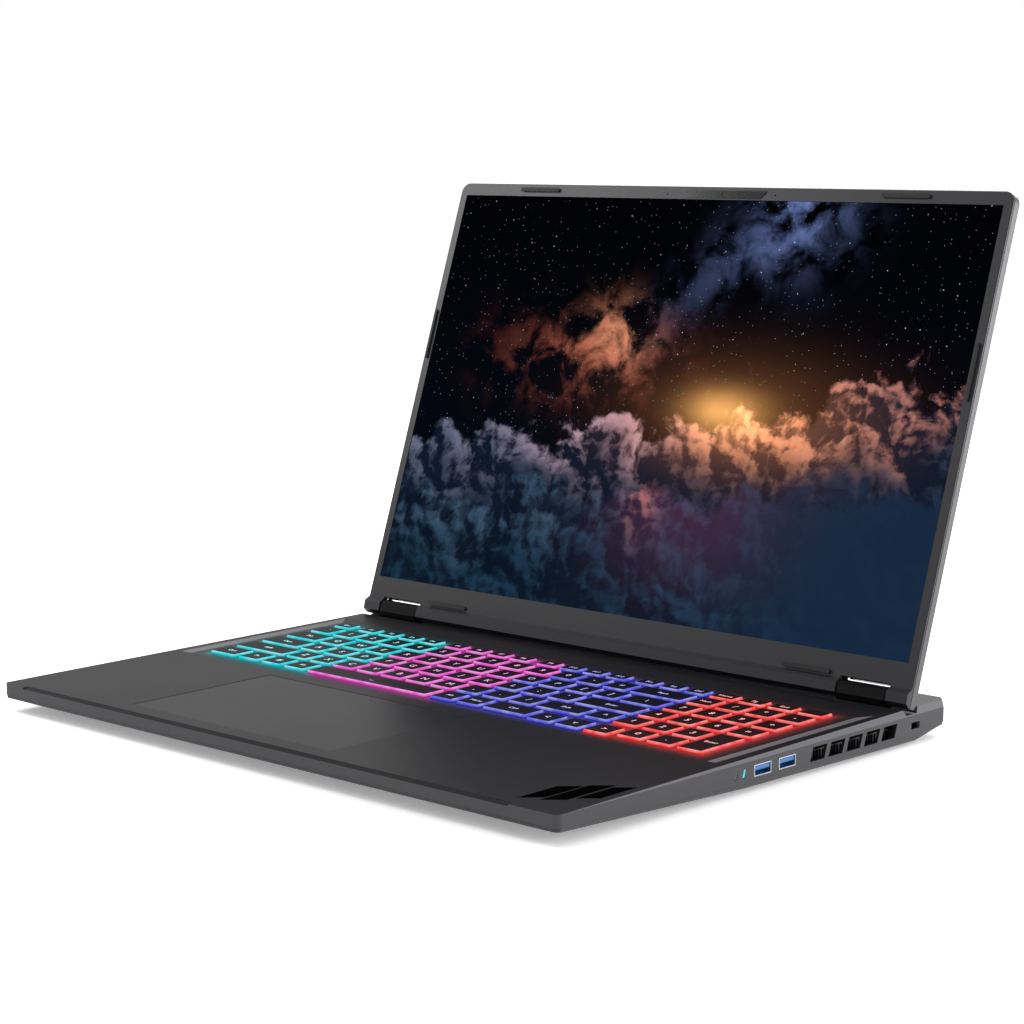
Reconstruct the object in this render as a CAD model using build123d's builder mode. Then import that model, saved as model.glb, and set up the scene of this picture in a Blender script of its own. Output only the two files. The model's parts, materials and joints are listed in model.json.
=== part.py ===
from build123d import *
from math import cos, radians, sin, tan
import os

# A large notebook computer, open, with its lid leaning back. Millimetres. X runs to the user's right,
# Y to the rear and Z up. The origin lies on the table under the middle of the open computer's
# bounding box. "Behind the front" below means a distance in Y from the case's front edge, and
# "up the lid" a distance from the hinge axis along the lid.

# ---- Case ----------------------------------------------------------------------------------------------
case_width = 402.4
case_depth = 301.0
deck_slope = 0.7                # degrees that the deck rises towards the rear
case_wall = 1.6
front_face_height = 6.3         # the case's side at the front edge
side_height = 10.5              # lower edge of the side below the front edge's top, where the taper ends
taper_end = 130.0               # behind the front, where the underside stops deepening
side_rear_height = 11.4
rear_bevel_start = 270.0
rear_bevel_end = 293.0
rear_face_height = 7.2          # lower edge of the rear face below the front edge's top
front_corner_radius = 3.5
rear_corner_chamfer = 6.2
side_chamfer_width = 3.4        # grows from nothing at the front corner to this at the rear
side_chamfer_foot = 0.5
scoop_width = 356.0
scoop_centre = -6.0
scoop_depth = 3.4
scoop_drop = 0.95

# ---- Bottom cover and feet -----------------------------------------------------------------------------
seam_gap = 0.2
cover_inset = 0.4
cover_wall = 1.4
foot_height = 2.0
belly_half_width = 184.0
belly_front = 50.0
belly_rear = 280.0
foot_length = 296.0
foot_width = 8.0
foot_edge_gap = 3.0
screw_radius = 1.0
screw_head_radius = 2.4
screw_head_height = 0.8
screw_clearance = 0.05
boss_radius = 3.0
screw_depth = 4.0
screw_slot = 0.48               # width of the cross slot in a screw's head
belly_corner_radius = 8.0
belly_wall_inset = 0.56
belly_taper = 45                # degrees that the belly's sides spread upwards
foot_chamfer = 0.33
# Screws: distance across from the middle, distance behind the front.
screw_places = (
    (-188.0, 12.0),
    (0.0, 9.0),
    (188.0, 12.0),
    (-190.0, 128.0),
    (190.0, 128.0),
    (-76.0, 291.0),
    (76.0, 291.0),
    (-190.0, 284.0),
    (190.0, 284.0),
)

# ---- Hinges and lid ------------------------------------------------------------------------------------
hinge_behind_front = 269.0
lid_lean = 18.5                 # degrees back from upright
closed_gap = 1.4                # deck to bezel with the lid shut
bezel_ahead_of_axis = 2.2
lid_width = 398.4
lid_reach = 268.9               # hinge axis to the lid's top edge
lid_thickness = 7.6
lid_corner_radius = 6.0
lid_edge_radius = 2.0
lid_wall = 1.2
bezel_thickness = 1.3
lid_seam = 0.5
screen_width = 387.7
screen_height = 242.3
screen_above_axis = 19.0
screen_recess = 0.5
screen_gap = 0.1
chin_drop = 4.0
chin_nose = 5.0
channel_clearance = 1.0
channel_ramp = 4.3
channel_front_gap = 1.6         # deck channel ahead of the lid's chin
channel_rear_gap = 2.2          # deck channel behind the hinge axis
hinge_notch_inner = 154.5
hinge_notch_width = 31.5
hinge_notch_top = 7.0
hinge_gap = 0.9
pin_radius = 1.8
pin_clearance = 0.05
sleeve_wall = 1.7
arm_width = 5.6
arm_length = 50.0
arm_thickness = 1.2
stop_height = 1.2
chin_facet = 0.62               # shares of the chin's nose at which its facets meet
chin_under_ahead = 0.94
chin_under_drop = 0.4
chin_under_lap = 0.5
# Facets of a hinge cover seen from the side: behind and above the hinge axis, in shares of the
# chin's nose.
hinge_cover_facets = (
    (-0.88, -1.2),
    (-0.98, -0.12),
    (-0.68, 0.82),
    (-0.18, 1.04),
    (0.48, 1.0),
    (0.98, 0.44),
    (1.04, -0.2),
    (0.72, -0.8),
    (0.36, -1.2),
)

# ---- Keyboard ------------------------------------------------------------------------------------------
key_pitch = 19.0
keyboard_units = 19             # key pitches from side to side
main_units = 15                 # of which the main block takes this many
function_keys_across = 16
function_group = 4              # keys side by side between two gaps, after the first key
key_gap = 2.8
row_depth = 16.0
function_row_depth = 10.8
keys_front = 125.0
keys_recess = 0.5
key_rise = 1.85                 # cap's top above the recess floor
key_sunk = 0.35                 # cap's underside below the recess floor
key_travel = 1.4
key_hole_clearance = 0.5
key_taper = 20.0
facing_up = 0.9                 # how near upright a face's normal is on a cap's top
key_corner_radius = 1.6
arrow_drop = 3.0                # the lower arrow keys sit this much nearer the user
function_group_gap = 0.2        # in key units
recess_front = 117.0
recess_rear = 244.0
recess_half_width = 194.0
recess_side_ramp = 6.0
recess_front_ramp = 1.5
recess_rear_ramp = 8.0
backlight_thickness = 0.3
backlight_clearance = 0.15
key_edge = 0.25
plate_thickness = 0.8
plate_rim = 1.5

# ---- Touchpad ------------------------------------------------------------------------------------------
pad_width = 149.6
pad_depth = 93.8
pad_centre = -33.2
pad_front = 14.0
pad_thickness = 1.1
pad_gap = 0.35
pad_sunk = 0.15
pad_travel = 0.5

# ---- Openings in the case's sides and rear -------------------------------------------------------------
port_drop = 5.0                 # centre of the side ports below the front edge's top
usb_places = (144.0, 163.0)
left_usb_place = 166.0
usb_width = 13.1
usb_height = 5.7
usb_wall = 0.5
usb_depth = 14.0
usb_tongue_height = 1.9
usb_c_places = (6.0, 26.0)
usb_c_width = 9.0
usb_c_height = 3.2
video_place = 56.0
video_width = 15.0
video_height = 5.5
port_clearance = 0.15
light_places = (124.0, 130.0)
light_width = 1.5
light_height = 3.6
vent_first = 188.0
vent_pitch = 14.7
vent_count = 5
vent_width = 11.5
vent_height = 7.0
vent_slant = 2.4
lock_place = 269.7
lock_width = 7.4
lock_height = 3.4
lock_plate_margin = 4.4
rear_port_drop = 2.4
rear_vent_first = 92.0
rear_vent_pitch = 11.0
rear_vent_count = 7
rear_vent_width = 8.0
rear_vent_height = 5.0
jack_place = 146.0
jack_radius = 1.8
jack_wall = 1.2
inlet_place = -40.0
inlet_radius = 3.7
inlet_pin_radius = 0.5

# ---- Inside the case -----------------------------------------------------------------------------------
board_top_drop = 3.3            # below the front edge's top
board_thickness = 1.2
fan_size = 80.0
fan_height = 6.6
fan_centre_x = 128.0
fan_centre_behind_front = 216.0
fan_wall = 0.8
fan_intake_radius = 22.0
rotor_radius = 35.0
hub_radius = 11.0
blade_count = 29
blade_thickness = 0.9
shaft_radius = 1.5
shaft_clearance = 0.05
fin_pitch = 2.4
fin_thickness = 0.6
pipe_radius = 1.4
battery_width = 300.0
battery_depth = 56.0
battery_thickness = 5.6
cell_count = 4

# ---- Air intakes, hinge necks and posts ----------------------------------------------------------------
intake_length = 30.0
intake_width = 3.0
intake_pitch_x = 34.0
intake_pitch_y = 6.0
intake_columns = 2
intake_rows = 9
neck_width = 24.0
neck_thickness = 3.0
belly_rise = 9.0
post_places = ((-178.0, 160.0), (178.0, 160.0), (-70.0, 252.0), (70.0, 252.0))

# ---- Where the inner pieces lie ------------------------------------------------------------------------
battery_gap = 2.0
board_half_width = 185.0
board_neck = 84.0
board_front = 128.0
board_strip = 44.0
board_rear = 260.0
chip_size = 12.0
chip_height = 0.8
chip_row_ahead = 30.4           # memory chips ahead of the processors
chip_row_count = 6
cooler_x = 29.0
cooler_behind_front = 200.0
cooler_width = 34.0
cooler_depth = 38.0
cold_plate_thickness = 1.7
pipe_count = 2
pipe_pitch = 4.0
pipe_run = 261.5
pipe_bend = 9.0
fin_inner = 169.0
fin_outer = 197.0
fin_low = 4.2
fin_height = 6.4
side_fin_length = 72.0
rear_fin_inner = 90.0
rear_fin_outer = 145.0
rear_fin_front = 260.0
rear_fin_rear = 294.0
rear_fin_height = 5.0
fan_corner = 4.0
rotor_gap = 1.5
memory_x = 37.0
memory_behind_front = 145.0
memory_width = 69.6
memory_depth = 30.0
module_thickness = 1.2
ssd_x = 124.0
ssd_length = 80.0
ssd_width = 22.0
wireless_place = 241.0
speaker_x = 156.0
speaker_front = 20.0
speaker_width = 60.0
speaker_depth = 28.0
speaker_height = 4.6
speaker_corner_radius = 2.0
rear_port_depth = 9.0
jack_length = 13.0
light_tail = 2.0

# ---- Inside the lid ------------------------------------------------------------------------------------
bracket_depth = 22.0
screen_back = -1.2              # rear of the display module, ahead of the hinge axis
strap_gap = 0.2
knuckle_radius = 2.6
chin_top = 5.8
chin_hollow = 5.0
rim_chamfer = 0.4
lip_low = 9.0
lip_thickness = 1.0
lcd_border = 1.7
lcd_low = 13.0
lcd_top = 261.8
camera_x = 8.0
camera_up = 264.3
camera_board_width = 60.0
camera_board_height = 4.2
lens_radius = 1.5
microphone_places = (-33.0, 45.0)
microphone_radius = 0.5
window_left = -22.7
window_right = 39.2
window_slant = 4.0
window_low = 262.0
window_top = 266.6
window_rise = 0.25
stop_x = 132.5
stop_length = 31.0
stop_width = 2.4
top_stop_up = 265.2
low_stop_up = 8.0
side_stop_up = 172.0
side_stop_in = 2.6
side_stop_width = 1.44

# ---- Worked out from the sizes above -------------------------------------------------------------------
# The front edge's top stands above the table by the feet, the cover and the deepest part of the side.
front_edge_height = foot_height + cover_wall + seam_gap + side_rear_height
rise = tan(radians(deck_slope))
lean = radians(lid_lean)
back_of_lid = lid_thickness - bezel_ahead_of_axis
open_depth = (
    hinge_behind_front
    + (lid_reach - lid_edge_radius) * sin(lean)
    + (back_of_lid - lid_edge_radius) * cos(lean)
    + lid_edge_radius
)
front = -open_depth / 2
half_width = case_width / 2
hinge_drop = closed_gap + bezel_ahead_of_axis
wall_cut = 4 * case_wall        # long enough to cut through the case from outside
pieces = []


def deck_height(behind_front):
    """Height of the deck above the front edge's top."""
    return behind_front * rise


def side_lower_edge(behind_front):
    """Height of the case's lower edge, measured from the front edge's top."""
    stations = (
        (0, -front_face_height),
        (taper_end, -side_height),
        (rear_bevel_start, -side_rear_height),
        (rear_bevel_end, -rear_face_height),
        (case_depth, -rear_face_height),
    )
    for (start, low), (end, high) in zip(stations, stations[1:]):
        if behind_front <= end:
            return low + (high - low) * (behind_front - start) / (end - start)
    return -rear_face_height


def case_point(behind_front, height):
    """A point of the side profile: distance behind the front, height from the front edge's top."""
    return (front + behind_front, front_edge_height + height)


def light_outline(place, grow=0.0):
    """Corners of one slanted status light, seen from the right side."""
    wide = light_width / 2 + grow
    tall = light_height / 2 + grow
    slant = vent_slant * light_height / vent_height / 2
    return (
        case_point(place - wide - slant, -port_drop - tall),
        case_point(place + wide - slant, -port_drop - tall),
        case_point(place + wide + slant, -port_drop + tall),
        case_point(place - wide + slant, -port_drop + tall),
    )


def keep(piece, label):
    """Name a finished piece and list it for writing."""
    piece.part.label = label
    pieces.append((piece, label))


hinge_height = front_edge_height + deck_height(hinge_behind_front) + hinge_drop
hinge_y = front + hinge_behind_front
hinge_middle = hinge_notch_inner + hinge_notch_width / 2
board_top = front_edge_height - board_top_drop
board_underside = board_top - board_thickness
cooler_y = front + cooler_behind_front
memory_y = front + memory_behind_front
deck = Plane(
    origin=(0, front, front_edge_height),
    x_dir=(1, 0, 0),
    z_dir=(0, -sin(radians(deck_slope)), cos(radians(deck_slope))),
)
lid_face = Plane(
    origin=(0, hinge_y, hinge_height),
    x_dir=(1, 0, 0),
    z_dir=(0, -cos(lean), sin(lean)),
)
lid_section = Plane(
    origin=(0, hinge_y, hinge_height),
    x_dir=(0, -cos(lean), sin(lean)),
    z_dir=(-1, 0, 0),
)

# ---- Keys: every cap's place and size on the deck ------------------------------------------------------
# Each row lists (left edge in key units, width in key units) for every key from left to right, and the
# zone counts say how many keys fall in each lighting zone.
unit = key_pitch
keyboard_left = -keyboard_units * unit / 2
function_width = (main_units - 4 * function_group_gap) / function_keys_across


def run_of_keys(widths, start=0.0):
    """Left edge and width of each key laid side by side."""
    keys = []
    for width in widths:
        keys.append((start, width))
        start += width
    return keys


numpad = run_of_keys([1, 1, 1, 1], main_units)
function_keys = []
for index in range(function_keys_across):
    gaps_before = (index + function_group - 1) // function_group
    function_keys.append((index * function_width + gaps_before * function_group_gap, function_width))

row_keys = {
    "function": function_keys + numpad,
    "number": run_of_keys([1] * 13 + [2]) + numpad,
    "upper": run_of_keys([1.5] + [1] * 12 + [1.5]) + numpad,
    "home": run_of_keys([1.75] + [1] * 11 + [2.25]) + numpad,
    "lower": run_of_keys([2.25] + [1] * 10 + [1.75, 1]) + numpad,
    "space": run_of_keys([1.25, 1, 1, 1, 5, 1, 1, 1.75, 1, 1]) + numpad[:3],
}
zone_keys = {
    "function": (5, 5, 6, 4),
    "number": (5, 5, 4, 4),
    "upper": (4, 5, 5, 4),
    "home": (4, 5, 4, 4),
    "lower": (3, 5, 5, 4),
    "space": (4, 1, 5, 3),
}
zones = ("left", "middle", "right", "numpad")
row_order = ("space", "lower", "home", "upper", "number", "function")


def cap_shape(row, index):
    """Centre and size on the deck of one key cap."""
    left, width = row_keys[row][index]
    level = row_order.index(row)
    low = keys_front + level * unit
    depth = function_row_depth if row == "function" else row_depth
    if row == "function":
        low = keys_front + 4 * unit + row_depth + key_gap
    if row == "space" and 8 <= index <= 10:
        low -= arrow_drop
    if row == "lower" and index == len(row_keys[row]) - 1:
        low -= unit
        depth += unit
    wide = width * unit - key_gap
    middle = keyboard_left + (left + width / 2) * unit
    return middle, low + depth / 2, wide, depth


def draw_caps(caps, grow=0.0):
    """Draw the rounded outlines of the given caps in the sketch being made."""
    for middle, centre, wide, depth in caps:
        with Locations((middle, centre)):
            RectangleRounded(wide + 2 * grow, depth + 2 * grow, key_corner_radius + grow)


all_caps = [cap_shape(row, index) for row in row_order for index in range(len(row_keys[row]))]

# ---- Upper case: deck, sides, front and rear in one shell ----------------------------------------------
channel_floor = deck_height(hinge_behind_front) + hinge_drop - chin_nose - channel_clearance
channel_front = hinge_behind_front - chin_nose - channel_front_gap
channel_rear = hinge_behind_front + channel_rear_gap
chamfer_edge = Vector(0, case_depth, side_chamfer_foot)
chamfer_across = Vector(-side_chamfer_width, case_depth, deck_height(case_depth))
chamfer_normal = chamfer_edge.cross(chamfer_across)
right_chamfer = Plane(
    origin=(half_width, front, front_edge_height), x_dir=(0, 1, 0), z_dir=chamfer_normal
)
left_chamfer = Plane(
    origin=(-half_width, front, front_edge_height),
    x_dir=(0, 1, 0),
    z_dir=(-chamfer_normal.X, chamfer_normal.Y, chamfer_normal.Z),
)

with BuildPart() as upper_case:
    with BuildSketch(Plane.YZ):
        with BuildLine():
            Polyline(
                case_point(0, 0),
                case_point(channel_front, deck_height(channel_front)),
                case_point(channel_front, channel_floor),
                case_point(channel_rear, channel_floor),
                case_point(channel_rear + channel_ramp, deck_height(channel_rear + channel_ramp)),
                case_point(case_depth, deck_height(case_depth)),
                case_point(case_depth, -rear_face_height),
                case_point(rear_bevel_end, -rear_face_height),
                case_point(rear_bevel_start, -side_rear_height),
                case_point(taper_end, -side_height),
                case_point(0, -front_face_height),
                close=True,
            )
        make_face()
    extrude(amount=half_width, both=True)
    fillet(upper_case.edges().filter_by(Axis.Z).group_by(Axis.Y)[0], front_corner_radius)
    chamfer(upper_case.edges().filter_by(Axis.Z).group_by(Axis.Y)[-1], rear_corner_chamfer)
    split(bisect_by=right_chamfer, keep=Keep.BOTTOM)
    split(bisect_by=left_chamfer, keep=Keep.BOTTOM)
    underside = upper_case.faces().filter_by(lambda face: face.normal_at().Z < -0.5)
    offset(amount=-case_wall, openings=underside)
    # Bosses for the bottom cover's screws, from the lower edge up into the deck's skin.
    for x, behind_front in screw_places:
        low = max(side_lower_edge(behind_front + reach) for reach in (-boss_radius, boss_radius))
        tall = deck_height(behind_front) - case_wall / 2 - low
        with Locations((x, front + behind_front, front_edge_height + low)):
            Cylinder(boss_radius, tall, align=(Align.CENTER, Align.CENTER, Align.MIN))
            Cylinder(
                screw_radius + screw_clearance,
                screw_depth,
                align=(Align.CENTER, Align.CENTER, Align.MIN),
                mode=Mode.SUBTRACT,
            )
    # Opening scoop along the front edge.
    with BuildSketch(Plane.YZ.offset(scoop_centre)):
        with BuildLine():
            Polyline(
                case_point(0, -scoop_drop),
                case_point(scoop_depth, deck_height(scoop_depth)),
                case_point(scoop_depth, scoop_drop),
                case_point(-scoop_drop, scoop_drop),
                case_point(-scoop_drop, -scoop_drop),
                close=True,
            )
        make_face()
    extrude(amount=scoop_width / 2, both=True, mode=Mode.SUBTRACT)
    # Keyboard recess with ramped sides, then one hole for each key cap.
    with BuildSketch(deck):
        with Locations((0, (recess_front + recess_rear) / 2)):
            Rectangle(2 * recess_half_width, recess_rear - recess_front)
    with BuildSketch(deck.offset(-keys_recess)):
        with Locations((0, (recess_front + recess_front_ramp + recess_rear - recess_rear_ramp) / 2)):
            Rectangle(
                2 * (recess_half_width - recess_side_ramp),
                recess_rear - recess_rear_ramp - recess_front - recess_front_ramp,
            )
    loft(mode=Mode.SUBTRACT)
    with BuildSketch(deck):
        draw_caps(all_caps, key_hole_clearance)
    extrude(amount=-2 * case_wall, mode=Mode.SUBTRACT)
    # Touchpad opening.
    with BuildSketch(deck):
        with Locations((pad_centre, pad_front + pad_depth / 2)):
            Rectangle(pad_width + 2 * pad_gap, pad_depth + 2 * pad_gap)
    extrude(amount=-2 * case_wall, mode=Mode.SUBTRACT)
    # Slanted air vents through both sides.
    with BuildSketch(Plane.YZ):
        for index in range(vent_count):
            middle = vent_first + index * vent_pitch
            low = -port_drop - vent_height / 2
            with BuildLine():
                Polyline(
                    case_point(middle - (vent_width + vent_slant) / 2, low),
                    case_point(middle + (vent_width - vent_slant) / 2, low),
                    case_point(middle + (vent_width + vent_slant) / 2, low + vent_height),
                    case_point(middle - (vent_width - vent_slant) / 2, low + vent_height),
                    close=True,
                )
            make_face()
    extrude(amount=case_width, both=True, mode=Mode.SUBTRACT)
    # Status light slots in the right side.
    with BuildSketch(Plane.YZ.offset(half_width)):
        for place in light_places:
            with BuildLine():
                Polyline(*light_outline(place, port_clearance), close=True)
            make_face()
    extrude(amount=-2 * case_wall, mode=Mode.SUBTRACT)
    # Ports in the sides.
    side_ports = [(1, place) for place in usb_places] + [(-1, left_usb_place)]
    for side, place in side_ports:
        with Locations((side * half_width, front + place, front_edge_height - port_drop)):
            Box(
                wall_cut,
                usb_width + 2 * port_clearance,
                usb_height + 2 * port_clearance,
                mode=Mode.SUBTRACT,
            )
    with Locations((half_width, front + lock_place, front_edge_height - port_drop)):
        Box(wall_cut, lock_width, lock_height, mode=Mode.SUBTRACT)
    with Locations((-half_width, front + jack_place, front_edge_height - port_drop)):
        Cylinder(
            jack_radius + jack_wall + port_clearance,
            wall_cut,
            rotation=(0, 90, 0),
            mode=Mode.SUBTRACT,
        )
    # Ports and air vents in the rear face.
    rear_holes = [(place, usb_c_width, usb_c_height) for place in usb_c_places]
    rear_holes.append((video_place, video_width, video_height))
    for x, wide, tall in rear_holes:
        with Locations((x, front + case_depth, front_edge_height - rear_port_drop)):
            Box(wide + 2 * port_clearance, wall_cut, tall + 2 * port_clearance, mode=Mode.SUBTRACT)
    with Locations((inlet_place, front + case_depth, front_edge_height - rear_port_drop)):
        Cylinder(
            inlet_radius + usb_wall + port_clearance,
            wall_cut,
            rotation=(90, 0, 0),
            mode=Mode.SUBTRACT,
        )
    for side in (-1, 1):
        for index in range(rear_vent_count):
            x = side * (rear_vent_first + index * rear_vent_pitch)
            with Locations((x, front + case_depth, front_edge_height - rear_port_drop)):
                Box(rear_vent_width, wall_cut, rear_vent_height, mode=Mode.SUBTRACT)
        # Slot in the channel floor for the hinge bracket's neck.
        with Locations((side * hinge_middle, hinge_y, front_edge_height + channel_floor)):
            Box(
                neck_width + 2 * hinge_gap,
                neck_thickness + 2 * hinge_gap,
                wall_cut,
                mode=Mode.SUBTRACT,
            )
keep(upper_case, "upper_case")

# ---- Bottom cover: a thin plate under the lower edge with a belly in the middle ------------------------


def cover_line(drop):
    """The case's lower edge from front to rear, lowered by a drop."""
    stations = (cover_inset, taper_end, rear_bevel_start, rear_bevel_end, case_depth - cover_inset)
    return [case_point(station, side_lower_edge(station) - drop) for station in stations]


belly_middle = front + (belly_front + belly_rear) / 2
belly_length = belly_rear - belly_front
belly_floor = foot_height + cover_wall
with BuildPart() as bottom_cover:
    with BuildSketch(Plane.YZ):
        with BuildLine():
            Polyline(*cover_line(seam_gap), *reversed(cover_line(seam_gap + cover_wall)), close=True)
        make_face()
    extrude(amount=half_width - cover_inset, both=True)
    fillet(bottom_cover.edges().filter_by(Axis.Z).group_by(Axis.Y)[0], front_corner_radius - cover_inset)
    chamfer(bottom_cover.edges().filter_by(Axis.Z).group_by(Axis.Y)[-1], rear_corner_chamfer)
    with BuildSketch(Plane.XY.offset(foot_height)):
        with Locations((0, belly_middle)):
            RectangleRounded(2 * belly_half_width, belly_length, belly_corner_radius)
    extrude(amount=belly_rise, taper=-belly_taper)
    with BuildSketch(Plane.YZ):
        with BuildLine():
            Polyline(
                *cover_line(seam_gap),
                case_point(case_depth, front_face_height),
                case_point(cover_inset, front_face_height),
                close=True,
            )
        make_face()
    extrude(amount=half_width, both=True, mode=Mode.SUBTRACT)
    with BuildSketch(Plane.XY.offset(belly_floor)):
        with Locations((0, belly_middle)):
            RectangleRounded(
                2 * (belly_half_width - belly_wall_inset),
                belly_length - 2 * belly_wall_inset,
                belly_corner_radius,
            )
    extrude(amount=belly_rise, taper=-belly_taper, mode=Mode.SUBTRACT)
    # Air intake slots under the two fans.
    with BuildSketch(Plane.XY.offset(foot_height)):
        for side in (-1, 1):
            with Locations((side * fan_centre_x, front + fan_centre_behind_front)):
                with GridLocations(intake_pitch_x, intake_pitch_y, intake_columns, intake_rows):
                    SlotOverall(intake_length, intake_width)
    extrude(amount=2 * cover_wall, mode=Mode.SUBTRACT)
    # Posts that carry the motherboard.
    for x, behind_front in post_places:
        with Locations((x, front + behind_front, belly_floor)):
            Cylinder(
                boss_radius,
                board_underside - belly_floor,
                align=(Align.CENTER, Align.CENTER, Align.MIN),
            )
    # Sunk screw holes.
    for x, behind_front in screw_places:
        low = front_edge_height + side_lower_edge(behind_front) - seam_gap - cover_wall
        with Locations((x, front + behind_front, low)):
            Cylinder(screw_radius + screw_clearance, 4 * cover_wall, mode=Mode.SUBTRACT)
            Cylinder(screw_head_radius + screw_clearance, 2 * screw_head_height, mode=Mode.SUBTRACT)
keep(bottom_cover, "bottom_cover")

with BuildPart() as case_screws:
    for x, behind_front in screw_places:
        low = front_edge_height + side_lower_edge(behind_front) - seam_gap - cover_wall
        with Locations((x, front + behind_front, low)):
            Cylinder(
                screw_head_radius, screw_head_height, align=(Align.CENTER, Align.CENTER, Align.MIN)
            )
            Cylinder(screw_radius, screw_depth, align=(Align.CENTER, Align.CENTER, Align.MIN))
            Box(screw_head_radius, screw_slot, screw_head_height, mode=Mode.SUBTRACT)
            Box(screw_slot, screw_head_radius, screw_head_height, mode=Mode.SUBTRACT)
keep(case_screws, "case_screws")

with BuildPart() as rubber_feet:
    with BuildSketch(Plane.XY):
        for behind_front in (
            belly_front + foot_edge_gap + foot_width / 2,
            belly_rear - foot_edge_gap - foot_width / 2,
        ):
            with Locations((0, front + behind_front)):
                SlotOverall(foot_length, foot_width)
    extrude(amount=foot_height)
    chamfer(rubber_feet.faces().sort_by(Axis.Z)[:2].edges(), foot_chamfer)
keep(rubber_feet, "rubber_feet")

# ---- Keyboard: lit caps, the light film under them and the steel plate ---------------------------------
film_drop = keys_recess + key_sunk + key_travel + backlight_clearance
film_front = keys_front - arrow_drop - key_gap
film_rear = keys_front + 4 * key_pitch + row_depth + key_gap + function_row_depth + key_gap
film_half_width = keyboard_units * key_pitch / 2 + key_gap
film_centre = (0, (film_front + film_rear) / 2)
plate_grow = plate_rim + port_clearance
with BuildPart() as keyboard_backlight:
    with BuildSketch(deck.offset(-film_drop)):
        with Locations(film_centre):
            Rectangle(2 * film_half_width, film_rear - film_front)
    extrude(amount=-backlight_thickness)
keep(keyboard_backlight, "keyboard_backlight")

with BuildPart() as keyboard_plate:
    with BuildSketch(deck.offset(-film_drop - backlight_thickness - plate_thickness)):
        with Locations(film_centre):
            Rectangle(2 * (film_half_width + plate_grow), film_rear - film_front + 2 * plate_grow)
    extrude(amount=film_drop + backlight_thickness + plate_thickness - case_wall)
    with BuildSketch(deck.offset(-film_drop - backlight_thickness)):
        with Locations(film_centre):
            Rectangle(
                2 * (film_half_width + port_clearance), film_rear - film_front + 2 * port_clearance
            )
    extrude(amount=film_drop, mode=Mode.SUBTRACT)
keep(keyboard_plate, "keyboard_plate")


def build_keys(label, caps):
    """One piece holding the given key caps, each a tapered block with softened edges."""
    with BuildPart() as keys:
        with BuildSketch(deck.offset(-keys_recess - key_sunk)):
            draw_caps(caps)
        extrude(amount=key_sunk + key_rise, taper=key_taper)
        tops = keys.faces().filter_by(lambda face: face.normal_at().Z > facing_up)
        chamfer(tops.edges(), key_edge)
    keep(keys, label)


for row in row_order:
    first = 0
    for zone, count in zip(zones, zone_keys[row]):
        chosen = range(first, first + count)
        caps = [cap_shape(row, index) for index in chosen]
        first += count
        if row == "function" and zone == "numpad":
            build_keys("power_button", caps[-1:])
            caps = caps[:-1]
        build_keys(f"{row}_row_keys_{zone}", caps)

# ---- Touchpad and its bracket --------------------------------------------------------------------------
with BuildPart() as touchpad:
    with BuildSketch(deck.offset(-pad_sunk)):
        with Locations((pad_centre, pad_front + pad_depth / 2)):
            Rectangle(pad_width, pad_depth)
    extrude(amount=-pad_thickness)
    chamfer(touchpad.faces().sort_by(Axis.Z)[-1].edges(), pad_sunk)
keep(touchpad, "touchpad")

bracket_drop = pad_sunk + pad_thickness + pad_travel + port_clearance
with BuildPart() as touchpad_bracket:
    with BuildSketch(deck.offset(-bracket_drop - plate_thickness)):
        with Locations((pad_centre, pad_front + pad_depth / 2)):
            Rectangle(pad_width + 4 * plate_rim, pad_depth + 2 * plate_rim)
    extrude(amount=bracket_drop + plate_thickness - case_wall)
    with BuildSketch(deck.offset(-bracket_drop)):
        with Locations((pad_centre, pad_front + pad_depth / 2)):
            Rectangle(pad_width + 2 * pad_gap, pad_depth + 2 * pad_gap)
    extrude(amount=bracket_drop, mode=Mode.SUBTRACT)
    with BuildSketch(deck.offset(-bracket_drop - plate_thickness)):
        with Locations((pad_centre, pad_front + pad_depth / 2)):
            with GridLocations(pad_width / 3, pad_depth / 2, 3, 2):
                Rectangle(pad_width / 4, pad_depth / 3)
    extrude(amount=plate_thickness, mode=Mode.SUBTRACT)
keep(touchpad_bracket, "touchpad_bracket")

# ---- Inside the case -----------------------------------------------------------------------------------
battery_rear = belly_front + foot_width + battery_depth + battery_gap
with BuildPart() as battery_pack:
    with BuildSketch(Plane.XY.offset(belly_floor)):
        with Locations((0, front + battery_rear - battery_depth / 2)):
            Rectangle(battery_width, battery_depth)
    extrude(amount=battery_thickness)
    with BuildSketch(Plane.XY.offset(belly_floor + battery_thickness)):
        with Locations((0, front + battery_rear - battery_depth / 2)):
            with GridLocations(battery_width / cell_count, 1, cell_count - 1, 1):
                Rectangle(battery_gap, battery_depth)
    extrude(amount=-battery_thickness / 2, mode=Mode.SUBTRACT)
    fillet(battery_pack.edges().filter_by(Axis.Y).group_by(Axis.Z)[-1], battery_gap / 2)
keep(battery_pack, "battery_pack")

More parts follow.
